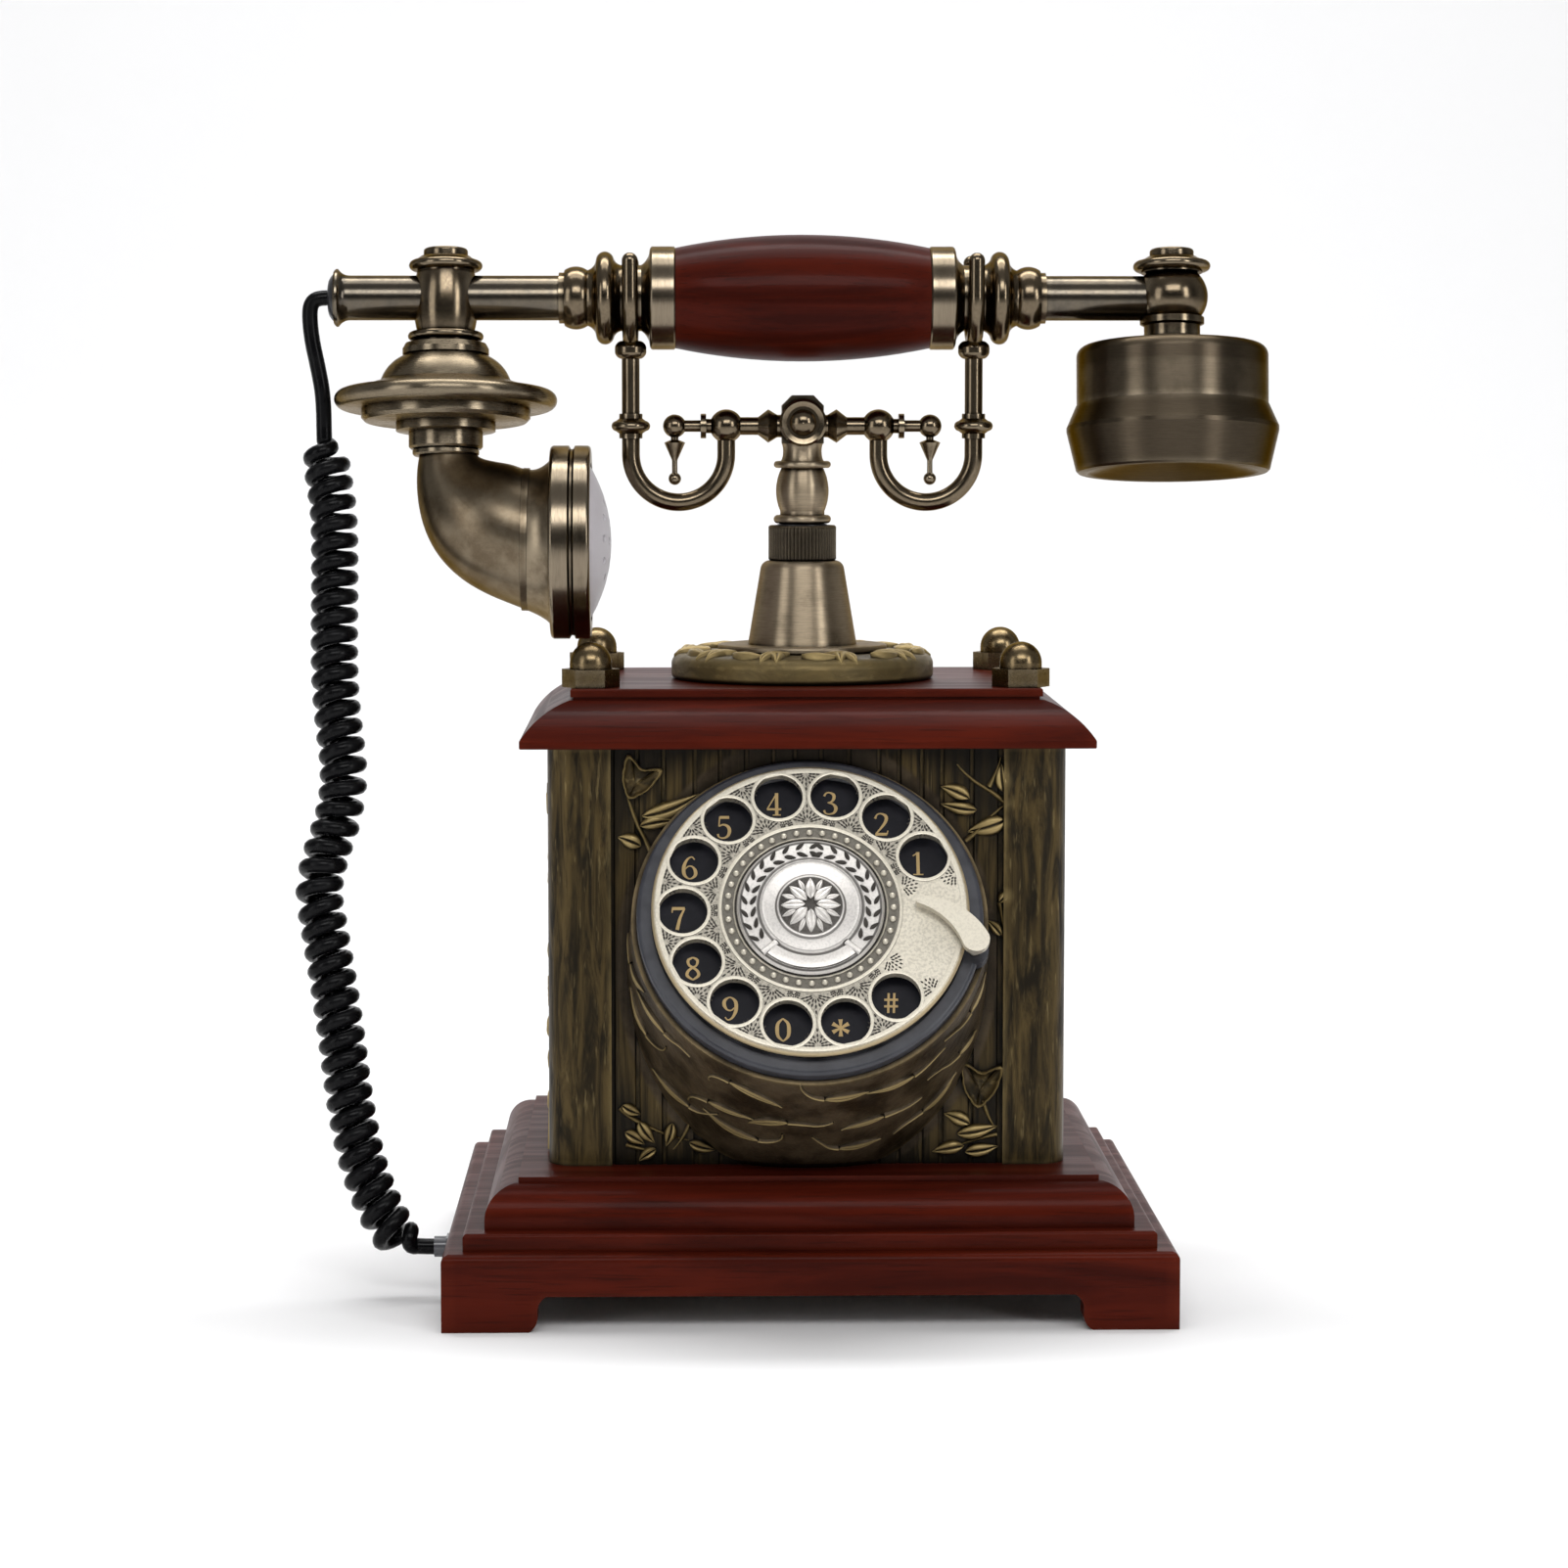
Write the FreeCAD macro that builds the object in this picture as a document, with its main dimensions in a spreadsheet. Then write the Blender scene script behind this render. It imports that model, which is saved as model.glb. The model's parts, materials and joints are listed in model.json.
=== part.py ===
"""A cradle telephone in the French style, as one parametric document.

The frame is in millimetres: +Z up, +X to the right of a viewer who faces the dial, -Y to that viewer.
The origin is on the table, below the middle of the telephone without its cord.
"""
import FreeCAD
import Part
import Sketcher
import math
import os

Vector = FreeCAD.Vector

# Driving dimensions, in millimetres and degrees.
SIZES = {
    # wooden plinth
    "plinth_width": 204.0,
    "plinth_depth": 177.0,
    "plinth_y": 7.6,
    "skirt_height": 21.6,
    "skirt_wall": 10.0,
    "skirt_round": 2.2,
    "foot_width": 24.0,
    "foot_ogee": 5.0,
    "foot_arch": 10.0,
    "bead_inset": 5.7,
    "bead_height": 4.8,
    "bead_round": 1.2,
    "ovolo_inset": 11.5,
    "ovolo_step": 2.7,
    "ovolo_radius": 9.1,
    "plinth_fillet": 1.4,
    "cover_thickness": 3.0,
    # casing and drum
    "casing_width": 147.0,
    "casing_depth": 110.0,
    "casing_height": 119.2,
    "casing_set_back": 3.5,
    "casing_wall": 6.0,
    "casing_corner": 8.0,
    "stile_width": 18.0,
    "panel_recess": 2.5,
    "drum_front_radius": 49.5,
    "drum_back_radius": 52.5,
    "drum_bore": 45.0,
    "drum_length": 58.0,
    # lid, tie rods and acorn nuts
    "lid_overhang": 7.4,
    "lid_lip": 2.2,
    "lid_slope_height": 10.6,
    "lid_slope_inset": 13.6,
    "lid_groove": 0.9,
    "lid_board": 2.3,
    "rod_radius": 2.5,
    "rod_inset_x": 12.2,
    "rod_inset_y": 16.0,
    "rod_clearance": 0.3,
    "nut_corner_radius": 8.25,
    "nut_height": 5.2,
    "nut_dome_radius": 6.0,
    "nut_dome_height": 7.6,
    "hex_corner_radius": 4.6,
    "hex_height": 4.0,
    # pedestal
    "flange_radius": 38.5,
    "flange_height": 8.0,
    "disc_radius": 24.8,
    "disc_height": 2.0,
    "cone_base_radius": 16.0,
    "cone_top_radius": 11.9,
    "cone_height": 24.5,
    "cone_cavity": 9.0,
    "collar_radius": 10.0,
    "collar_height": 10.3,
    "knurl_depth": 0.45,
    "knurl_count": 60.0,
    # cradle
    "plunger_radius": 4.0,
    "plunger_clearance": 0.1,
    "plunger_collar": 6.6,
    "plunger_tail": 10.0,
    "cradle_gap": 0.6,
    "column_height": 23.4,
    "column_ring": 8.4,
    "vase_radius": 7.7,
    "vase_foot_radius": 6.5,
    "vase_neck_radius": 6.1,
    "head_width": 12.2,
    "head_height": 14.0,
    "head_chamfer": 3.0,
    "boss_radius": 6.85,
    "boss_dome": 3.85,
    "arm_height": 5.0,
    "arm_radius": 2.6,
    "arm_thin_radius": 1.7,
    "arm_ball": 4.9,
    "arm_ball_x": 22.3,
    "arm_end_ball": 3.4,
    "arm_end_x": 37.4,
    "hook_x": 50.2,
    "hook_tube": 2.6,
    "hook_drop": 8.3,
    "hook_ring": 5.2,
    "fork_wire": 2.3,
    "fork_clearance": 0.4,
    "fork_rise": 12.8,
    "spring_wire": 1.1,
    "spring_radius": 5.9,
    # handset
    "handset_rise": 37.2,
    "handset_roll": 7.0,
    "grip_half": 37.0,
    "grip_radius": 18.4,
    "grip_end_radius": 14.6,
    "ferrule_radius": 15.0,
    "ferrule_length": 7.3,
    "neck_radius": 9.6,
    "neck_start": 47.0,
    "neck_ring_x": 53.4,
    "neck_ring_radius": 13.5,
    "neck_ring_width": 8.4,
    "neck_small_radius": 8.7,
    "neck_end": 71.0,
    "tube_radius": 6.5,
    "tube_bore": 4.6,
    "tube_end": 136.4,
    "tube_rim": 8.4,
    "tee_left_x": 104.0,
    "tee_barrel": 9.4,
    "tee_right_x": 108.2,
    "tee_ball": 10.6,
    "cap_left_rim": 10.7,
    "cap_right_rim": 11.3,
    "cap_disc": 6.45,
    "saucer_radius": 32.4,
    "saucer_z": 29.9,
    "saucer_edge": 5.0,
    "saucer_foot": 46.2,
    "mouth_drop": 25.2,
    "mouth_out": 30.5,
    "horn_wall": 1.6,
    "mouth_radius": 28.1,
    "mouth_width": 11.8,
    "mouth_face": 23.0,
    "receiver_radius": 28.0,
    "receiver_band": 31.0,
    "receiver_wall": 2.0,
    "grommet_length": 1.8,
    # dial
    "dial_tilt": 32.0,
    "dial_y": -66.4,
    "dial_z": 112.7,
    "rim_radius": 48.0,
    "rim_inner": 42.6,
    "rim_height": 3.8,
    "plate_thickness": 2.0,
    "wheel_radius": 43.9,
    "wheel_back": 5.4,
    "wheel_thickness": 2.4,
    "wheel_bevel": 0.9,
    "finger_hole": 6.8,
    "finger_circle": 35.2,
    "finger_first": 26.4,
    "finger_step": 25.85,
    "badge_radius": 20.4,
    "badge_height": 1.4,
    "shaft_radius": 3.0,
    "shaft_clearance": 0.08,
    "gear_module": 0.75,
    "gear_teeth": 54.0,
    "pinion_teeth": 14.0,
    "gear_backlash": 0.14,
    "gear_width": 3.0,
    "stop_gap": 1.9,
    "stop_height": 2.2,
    "stop_post": 1.7,
    "stop_radius": 46.4,
    "stop_angle": -14.0,
    "stop_stroke": 1.5,
    # cord, plug and sockets
    "cord_diameter": 4.6,
    "coil_radius": 4.7,
    "coil_pitch": 5.5,
    "jack_y": -36.0,
    "jack_z": 15.0,
    "plug_width": 7.6,
    "plug_height": 6.2,
    "plug_length": 15.0,
    "line_x": 40.0,
}

doc = FreeCAD.newDocument("cradle_phone")
sheet = doc.addObject("Spreadsheet::Sheet", "sizes")
for row, (alias, number) in enumerate(SIZES.items(), start=1):
    sheet.set("A%d" % row, alias)
    sheet.set("B%d" % row, repr(number))
    sheet.setAlias("B%d" % row, alias)
doc.recompute()


class Size:
    """A number together with the formula that ties it to the sheet."""

    def __init__(self, value, text):
        self.value = value
        self.text = text

    def __add__(self, other):
        other = size(other)
        return Size(self.value + other.value, "(%s + %s)" % (self.text, other.text))

    def __sub__(self, other):
        other = size(other)
        return Size(self.value - other.value, "(%s - %s)" % (self.text, other.text))

    def __mul__(self, other):
        other = size(other)
        return Size(self.value * other.value, "(%s * %s)" % (self.text, other.text))

    def __truediv__(self, other):
        other = size(other)
        return Size(self.value / other.value, "(%s / %s)" % (self.text, other.text))

    def __radd__(self, other):
        return size(other) + self

    def __rsub__(self, other):
        return size(other) - self

    def __rmul__(self, other):
        return size(other) * self

    def __neg__(self):
        return Size(-self.value, "(0 - %s)" % self.text)


def size(number):
    """Any number as a Size."""
    if isinstance(number, Size):
        return number
    return Size(float(number), repr(float(number)))


class Named:
    """Reads the sheet's cells by their names."""

    def __getattr__(self, name):
        return Size(float(sheet.get(name)), "sizes.%s" % name)


S = Named()


def cosine(angle):
    return Size(math.cos(math.radians(angle.value)), "cos(%s)" % angle.text)


def sine(angle):
    return Size(math.sin(math.radians(angle.value)), "sin(%s)" % angle.text)


def bind(thing, prop, amount):
    """Ties one property to its formula."""
    thing.setExpression(prop, size(amount).text)


def place(thing, x=0, y=0, z=0, turn=None, axis=(1, 0, 0)):
    """Puts a piece at x, y, z, turned about an axis through that point."""
    angle = size(turn or 0)
    thing.Placement = FreeCAD.Placement(Vector(0, 0, 0), FreeCAD.Rotation(Vector(*axis), angle.value))
    if turn is not None:
        bind(thing, "Placement.Rotation.Angle", angle)
    bind(thing, "Placement.Base.x", x)
    bind(thing, "Placement.Base.y", y)
    bind(thing, "Placement.Base.z", z)
    return thing


def new_body(label):
    body = doc.addObject("PartDesign::Body", label)
    body.Label = label
    return body


def origin_part(body, role):
    return [item for item in body.Origin.OriginFeatures if item.Role == role][0]


def arc_between(start, end, sweep):
    """A circular arc from start to end that turns left for a positive sweep."""
    half = math.radians(abs(sweep)) / 2
    chord = end - start
    sagitta = chord.Length / 2 * math.tan(half / 2)
    side = Vector(chord.y, -chord.x, 0).normalize()
    if sweep < 0:
        side = -side
    middle = (start + end) * 0.5 + side * sagitta
    return Part.Arc(start, middle, end) if sweep > 0 else Part.Arc(end, middle, start)


def ball_sweep(start, end, level, word):
    """The sweep of an arc whose centre lies on the axis of turning, so that it makes part of a ball."""
    one, two = (start.x, end.x) if level else (start.y, end.y)
    gap = (end.Length**2 - start.Length**2) / (2 * (two - one))
    centre = Vector(gap, 0, 0) if level else Vector(0, gap, 0)
    angle = math.degrees((start - centre).getAngle(end - centre))
    return angle if word == "ball" else -angle


def draw(sketch, outline, level=False):
    """Draws one closed outline. A point is (x, y), or (x, y, sweep) where an arc arrives at it.

    A sweep is in degrees, or the word ball or dish for an arc about a point of the axis of turning.
    """
    first = sketch.GeometryCount
    count = len(outline)
    spots = [Vector(size(p[0]).value, size(p[1]).value, 0) for p in outline]
    words = [p[2] if len(p) > 2 else 0 for p in outline]
    sweeps = []
    for index, word in enumerate(words):
        if isinstance(word, str):
            word = ball_sweep(spots[index - 1], spots[index], level, word)
        sweeps.append(word)
    shapes = []
    for index in range(count):
        after = (index + 1) % count
        if sweeps[after]:
            shapes.append(arc_between(spots[index], spots[after], sweeps[after]))
        else:
            shapes.append(Part.LineSegment(spots[index], spots[after]))
    sketch.addGeometry(shapes, False)
    rules = []
    formulas = []
    for index in range(count):
        after = (index + 1) % count
        beyond = (index + 2) % count
        begin = 2 if sweeps[after] < 0 else 1
        finish = 3 - begin
        next_begin = 2 if sweeps[beyond] < 0 else 1
        rules.append(Sketcher.Constraint("Coincident", first + index, finish, first + after, next_begin))
        formulas.append(None)
        if isinstance(words[after], str):
            rules.append(Sketcher.Constraint("PointOnObject", first + index, 3, -1 if level else -2))
            formulas.append(None)
        elif sweeps[after]:
            rules.append(Sketcher.Constraint("Angle", first + index, math.radians(abs(sweeps[after]))))
            formulas.append(None)
        for kind, amount, across in (("DistanceX", outline[index][0], -2), ("DistanceY", outline[index][1], -1)):
            amount = size(amount)
            if abs(amount.value) < 1e-9:
                rules.append(Sketcher.Constraint("PointOnObject", first + index, begin, across))
                formulas.append(None)
            else:
                rules.append(Sketcher.Constraint(kind, -1, 1, first + index, begin, amount.value))
                formulas.append(amount.text if "sizes." in amount.text else None)
    numbers = sketch.addConstraint(rules)
    for number, formula in zip(numbers, formulas):
        if formula:
            sketch.setExpression("Constraints[%d]" % number, formula)


def draw_circle(sketch, x, y, radius):
    """Draws one circle about x, y."""
    x, y, radius = size(x), size(y), size(radius)
    geo = sketch.addGeometry(Part.Circle(Vector(x.value, y.value, 0), Vector(0, 0, 1), radius.value), False)
    number = sketch.addConstraint(Sketcher.Constraint("Radius", geo, radius.value))
    sketch.setExpression("Constraints[%d]" % number, radius.text)
    for kind, amount, across in (("DistanceX", x, -2), ("DistanceY", y, -1)):
        if abs(amount.value) < 1e-9:
            sketch.addConstraint(Sketcher.Constraint("PointOnObject", geo, 3, across))
        else:
            number = sketch.addConstraint(Sketcher.Constraint(kind, -1, 1, geo, 3, amount.value))
            sketch.setExpression("Constraints[%d]" % number, amount.text)


def sketch_on(body, role, outlines=(), circles=(), offset=None, lift=None, level=False):
    """A sketch on one of the body's own origin planes, set off along its normal and lifted in it."""
    sketch = body.newObject("Sketcher::SketchObject", body.Label + "_outline")
    sketch.AttachmentSupport = [(origin_part(body, role), "")]
    sketch.MapMode = "FlatFace"
    if offset is not None:
        bind(sketch, "AttachmentOffset.Base.z", offset)
    if lift is not None:
        bind(sketch, "AttachmentOffset.Base.y", lift)
    for outline in outlines:
        draw(sketch, outline, level)
    for circle in circles:
        draw_circle(sketch, *circle)
    return sketch


def revolve(body, outline, about="V_Axis", cut=False, lift=None):
    """Turns an outline in the XZ plane about the upright or the level axis of its sketch."""
    sketch = sketch_on(body, "XZ_Plane", [outline], lift=lift, level=about == "H_Axis")
    kind = "PartDesign::Groove" if cut else "PartDesign::Revolution"
    feature = body.newObject(kind, body.Label + "_turned")
    feature.Profile = sketch
    feature.ReferenceAxis = (sketch, [about])
    feature.Angle = 360.0
    return body


def turned(label, outline, about="V_Axis", lift=None):
    return revolve(new_body(label), outline, about, lift=lift)


def pad(body, role, length, outlines=(), circles=(), offset=None, middle=False, back=False):
    """Thickens an outline along its plane's normal, on both sides alike or to the back if asked."""
    sketch = sketch_on(body, role, outlines, circles, offset)
    feature = body.newObject("PartDesign::Pad", body.Label + "_pad")
    feature.Profile = sketch
    feature.SideType = "Symmetric" if middle else "One side"
    feature.Reversed = back
    bind(feature, "Length", length)
    return feature


def pocket(body, role, length, outlines=(), circles=(), offset=None, middle=False, back=False, lift=None):
    """Cuts an outline out, against its plane's normal, or along it if asked."""
    sketch = sketch_on(body, role, outlines, circles, offset, lift)
    feature = body.newObject("PartDesign::Pocket", body.Label + "_cut")
    feature.Profile = sketch
    feature.SideType = "Symmetric" if middle else "One side"
    feature.Reversed = back
    bind(feature, "Length", length)
    return feature


def ring_of(body, feature, count, angle):
    """Repeats a feature round the body's upright axis."""
    pattern = body.newObject("PartDesign::PolarPattern", body.Label + "_ring")
    pattern.Originals = [feature]
    pattern.Axis = (origin_part(body, "Z_Axis"), [""])
    bind(pattern, "Angle", angle)
    bind(pattern, "Occurrences", count)
    body.Tip = pattern
    return pattern


def box(label, low, high):
    """A plain block between two corners."""
    block = doc.addObject("Part::Box", label)
    block.Label = label
    for prop, start, end in zip(("Length", "Width", "Height"), low, high):
        bind(block, prop, size(end) - start)
    return place(block, *low)


def join(label, pieces):
    both = doc.addObject("Part::MultiFuse", label)
    both.Label = label
    both.Shapes = pieces
    return both


def cut(label, base, tool):
    left = doc.addObject("Part::Cut", label)
    left.Label = label
    left.Base = base
    left.Tool = tool
    return left


def overlap(label, base, tool):
    common = doc.addObject("Part::Common", label)
    common.Label = label
    common.Base = base
    common.Tool = tool
    return common


def group(label, pieces):
    """Several equal solids that share one node."""
    bundle = doc.addObject("Part::Compound", label)
    bundle.Label = label
    bundle.Links = pieces
    return bundle


def plain(label, shape):
    """A piece whose form is worked out in this file."""
    feature = doc.addObject("Part::Feature", label)
    feature.Label = label
    feature.Shape = shape
    return feature


def rectangle(x0, x1, y0, y1):
    return [(x0, y0), (x1, y0), (x1, y1), (x0, y1)]


NODES = []


def keep(piece):
    NODES.append(piece)
    return piece


# Heights and places that several pieces share.
casing_y = S.plinth_y + S.casing_set_back
bead_top = S.skirt_height + S.bead_height
ovolo_top = bead_top + S.ovolo_step + S.ovolo_radius
plinth_top = ovolo_top + S.plinth_fillet
casing_top = plinth_top + S.casing_height
slope_top = casing_top + S.lid_lip + S.lid_slope_height
board_base = slope_top + S.lid_groove
lid_top = board_base + S.lid_board
flange_top = lid_top + S.flange_height
disc_top = flange_top + S.disc_height
cone_top = disc_top + S.cone_height
collar_top = cone_top + S.collar_height
column_base = collar_top + S.cradle_gap
head_base = column_base + S.column_height
arm_z = head_base + S.arm_height
half_width = S.plinth_width / 2
half_depth = S.plinth_depth / 2
handset_z = arm_z + S.handset_rise
rod_x = S.casing_width / 2 - S.rod_inset_x
rod_y = S.casing_depth / 2 - S.rod_inset_y


def moulded_board(label, wide, deep, profile):
    """A board with the same moulding on all four sides: two runs of the moulding, crossed.

    The profile goes up the right-hand edge as (inset, height, sweep).
    """
    runs = []
    for half, other, role in ((wide, deep, "XZ_Plane"), (deep, wide, "YZ_Plane")):
        right = [(half - p[0],) + tuple(p[1:]) for p in profile]
        left = []
        for index in range(len(profile) - 1, -1, -1):
            arriving = profile[index + 1][2:] if index + 1 < len(profile) else ()
            left.append((profile[index][0] - half, profile[index][1]) + tuple(arriving))
        run = new_body("%s_run_%s" % (label, role[:1].lower()))
        pad(run, role, other * 2, [right + left], middle=True)
        runs.append(run)
    return overlap(label, runs[0], runs[1])


# Skirt of four mitred boards, each with a bracket foot at both ends.
def skirt_board(label, length, opening=None):
    board = new_body(label)
    half = length / 2
    foot = half - S.foot_width
    inner = foot - S.foot_ogee
    outline = [
        (-half, 0),
        (-foot, 0),
        (-foot + S.foot_ogee / 2, S.foot_arch / 2, 70),
        (-inner, S.foot_arch, -70),
        (inner, S.foot_arch),
        (foot - S.foot_ogee / 2, S.foot_arch / 2, -70),
        (foot, 0, 70),
        (half, 0),
        (half, S.skirt_height),
        (-half, S.skirt_height),
    ]
    pad(board, "XZ_Plane", S.skirt_wall, [outline], back=True)
    wall = S.skirt_wall
    mitres = [
        [(-half, 0), (-half + wall, wall), (-half, wall)],
        [(half, 0), (half, wall), (half - wall, wall)],
    ]
    pocket(board, "XY_Plane", S.skirt_height * 3, mitres, middle=True)
    if opening:
        pocket(board, "XZ_Plane", wall * 3, [opening], middle=True)
    doc.recompute()
    top = S.skirt_height.value
    base = board.Tip
    names = []
    for number, edge in enumerate(base.Shape.Edges, start=1):
        ends = [vertex.Point for vertex in edge.Vertexes]
        if all(abs(p.z - top) < 1e-4 and abs(p.y) < 1e-4 for p in ends):
            names.append("Edge%d" % number)
    rounding = board.newObject("PartDesign::Fillet", label + "_round")
    rounding.Base = (base, names)
    bind(rounding, "Radius", S.skirt_round)
    return board


plug_room = 0.4
side_shift = S.plinth_y - S.jack_y
line_opening = rectangle(-S.line_x - 7.3, -S.line_x + 7.3, S.foot_arch - 1, S.jack_z + 4.1)
jack_opening = rectangle(
    side_shift - S.plug_width / 2 - plug_room,
    side_shift + S.plug_width / 2 + plug_room,
    S.jack_z - S.plug_height / 2 - 0.3,
    S.jack_z + S.plug_height / 2 + 0.3,
)
skirt_front = place(skirt_board("skirt_front", S.plinth_width), 0, S.plinth_y - half_depth, 0)
skirt_back = skirt_board("skirt_back", S.plinth_width, line_opening)
place(skirt_back, 0, S.plinth_y + half_depth, 0, 180, (0, 0, 1))
skirt_left = skirt_board("skirt_left", S.plinth_depth, jack_opening)
place(skirt_left, -half_width, S.plinth_y, 0, -90, (0, 0, 1))
skirt_right = skirt_board("skirt_right", S.plinth_depth)
place(skirt_right, half_width, S.plinth_y, 0, 90, (0, 0, 1))
keep(group("plinth_skirt", [skirt_front, skirt_back, skirt_left, skirt_right]))


def upright_pins(label, radius, low, high):
    """Four upright cylinders on the pattern of the tie rods."""
    pins = []
    for number, (sx, sy) in enumerate(((1, 1), (-1, 1), (-1, -1), (1, -1)), start=1):
        pin = doc.addObject("Part::Cylinder", "%s_%d" % (label, number))
        bind(pin, "Radius", radius)
        bind(pin, "Height", size(high) - low)
        place(pin, rod_x * sx, casing_y + rod_y * sy, low)
        pins.append(pin)
    return pins


rod_bores = join("rod_bores", upright_pins("rod_bore", S.rod_radius + S.rod_clearance, -1, lid_top + 1))

# Plinth board: bead, ovolo and a small fillet below the flat top.
bead_side = S.skirt_height + S.bead_height - S.bead_round
plinth_profile = [
    (S.bead_inset, S.skirt_height),
    (S.bead_inset, bead_side),
    (S.bead_inset + S.bead_round, bead_top, 90),
    (S.ovolo_inset, bead_top),
    (S.ovolo_inset, bead_top + S.ovolo_step),
    (S.ovolo_inset + S.ovolo_radius, ovolo_top, 90),
    (S.ovolo_inset + S.ovolo_radius, plinth_top),
]
plinth_blank = moulded_board("plinth_blank", half_width, half_depth, plinth_profile)
place(plinth_blank, 0, S.plinth_y, 0)
wire_way = box(
    "wire_way", (-20, casing_y - 15, S.skirt_height - 1), (20, casing_y + 15, plinth_top + 1)
)
keep(cut("plinth_board", plinth_blank, join("plinth_openings", [rod_bores, wire_way])))

# Cover below the plinth board, clamped by the tie rods.
cover_x = half_width - S.skirt_wall - 0.5
cover_y = half_depth - S.skirt_wall - 0.5
cover_low = S.skirt_height - S.cover_thickness
cover_blank = box(
    "cover_blank",
    (-cover_x, S.plinth_y - cover_y, cover_low),
    (cover_x, S.plinth_y + cover_y, S.skirt_height),
)
jack_back = -half_width + S.skirt_wall + 11
socket_room = box(
    "socket_room",
    (-cover_x - 1, S.jack_y - 8, cover_low - 1),
    (jack_back + 0.5, S.jack_y + 8, S.skirt_height + 1),
)
line_back = S.plinth_y + half_depth - S.skirt_wall - 14
line_room = box(
    "line_room",
    (S.line_x - 8, line_back - 0.5, cover_low - 1),
    (S.line_x + 8, S.plinth_y + cover_y + 1, S.skirt_height + 1),
)
keep(cut("base_cover", cover_blank, join("cover_openings", [rod_bores, socket_room, line_room])))

# Casing: four corner stiles round recessed panels, open at top and bottom, with the drum of the dial.
cx = S.casing_width / 2
cy = S.casing_depth / 2
sx = cx - S.stile_width
sy = cy - S.stile_width
px = cx - S.panel_recess
py = cy - S.panel_recess
round_off = S.casing_corner
casing_tube = new_body("casing_tube")
plan = [
    (cx - round_off, -cy),
    (cx, -cy + round_off, 90),
    (cx, -sy),
    (px, -sy),
    (px, sy),
    (cx, sy),
    (cx, cy - round_off),
    (cx - round_off, cy, 90),
    (-cx + round_off, cy),
    (-cx, cy - round_off, 90),
    (-cx, sy),
    (-px, sy),
    (-px, -sy),
    (-cx, -sy),
    (-cx, -cy + round_off),
    (-cx + round_off, -cy, 90),
    (-sx, -cy),
    (-sx, -py),
    (sx, -py),
    (sx, -cy),
]
hollow = rectangle(
    -cx + S.casing_wall, cx - S.casing_wall, -cy + S.casing_wall, cy - S.casing_wall
)
pad(casing_tube, "XY_Plane", S.casing_height, [plan, hollow])
place(casing_tube, 0, casing_y, plinth_top)


def on_dial(thing, up=0):
    """Stands a piece on the dial's slope, or a way up it, its upright axis along the dial's axis."""
    y = S.dial_y + size(up) * sine(S.dial_tilt)
    z = S.dial_z + size(up) * cosine(S.dial_tilt)
    return place(thing, 0, y, z, 90 - S.dial_tilt)


drum_solid = turned(
    "drum_solid",
    [(0, -S.drum_length), (S.drum_back_radius, -S.drum_length), (S.drum_front_radius, 0), (0, 0)],
)
on_dial(drum_solid)
drum_bore = turned(
    "drum_bore",
    [(0, -S.drum_length - 2), (S.drum_bore, -S.drum_length - 2), (S.drum_bore, 2), (0, 2)],
)
on_dial(drum_bore)
inside = box(
    "casing_inside",
    (-cx + S.casing_wall, casing_y - cy + S.casing_wall, plinth_top - 1),
    (cx - S.casing_wall, casing_y + cy - S.casing_wall, casing_top + 1),
)
below = box(
    "casing_below", (-cx, casing_y - cy - 60, plinth_top - 40), (cx, casing_y + cy, plinth_top)
)
casing_solid = join("casing_solid", [casing_tube, drum_solid])
keep(cut("casing", casing_solid, join("casing_openings", [inside, drum_bore, below])))

# Lid: a gently rounded slope on four sides, a groove and a top board.
lid_x = cx + S.lid_overhang
lid_y = cy + S.lid_overhang
lid_profile = [
    (0.5, casing_top),
    (0, casing_top + 0.5, 90),
    (0, casing_top + S.lid_lip),
    (S.lid_slope_inset, slope_top, 40),
    (S.lid_slope_inset + 1.2, slope_top),
    (S.lid_slope_inset + 1.2, board_base),
    (S.lid_slope_inset + 0.4, board_base),
    (S.lid_slope_inset + 0.4, lid_top - 0.6),
    (S.lid_slope_inset + 1.0, lid_top, 90),
]
lid_blank = place(moulded_board("lid_blank", lid_x, lid_y, lid_profile), 0, casing_y, 0)
plunger_bore = doc.addObject("Part::Cylinder", "plunger_bore")
bind(plunger_bore, "Radius", S.plunger_radius + 1)
bind(plunger_bore, "Height", S.casing_height)
place(plunger_bore, 0, casing_y, casing_top - 10)
keep(cut("lid", lid_blank, join("lid_openings", [rod_bores, plunger_bore])))

# Tie rods with plain nuts below the cover and acorn nuts on the lid.
rod_low = cover_low - S.hex_height - 2
rod_high = lid_top + S.nut_height + 3
keep(group("tie_rods", upright_pins("tie_rod", S.rod_radius, rod_low, rod_high)))


def hexagon(radius):
    steep = radius * 0.8660254
    return [
        (radius, 0),
        (radius / 2, steep),
        (-radius / 2, steep),
        (-radius, 0),
        (-radius / 2, -steep),
        (radius / 2, -steep),
    ]


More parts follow.
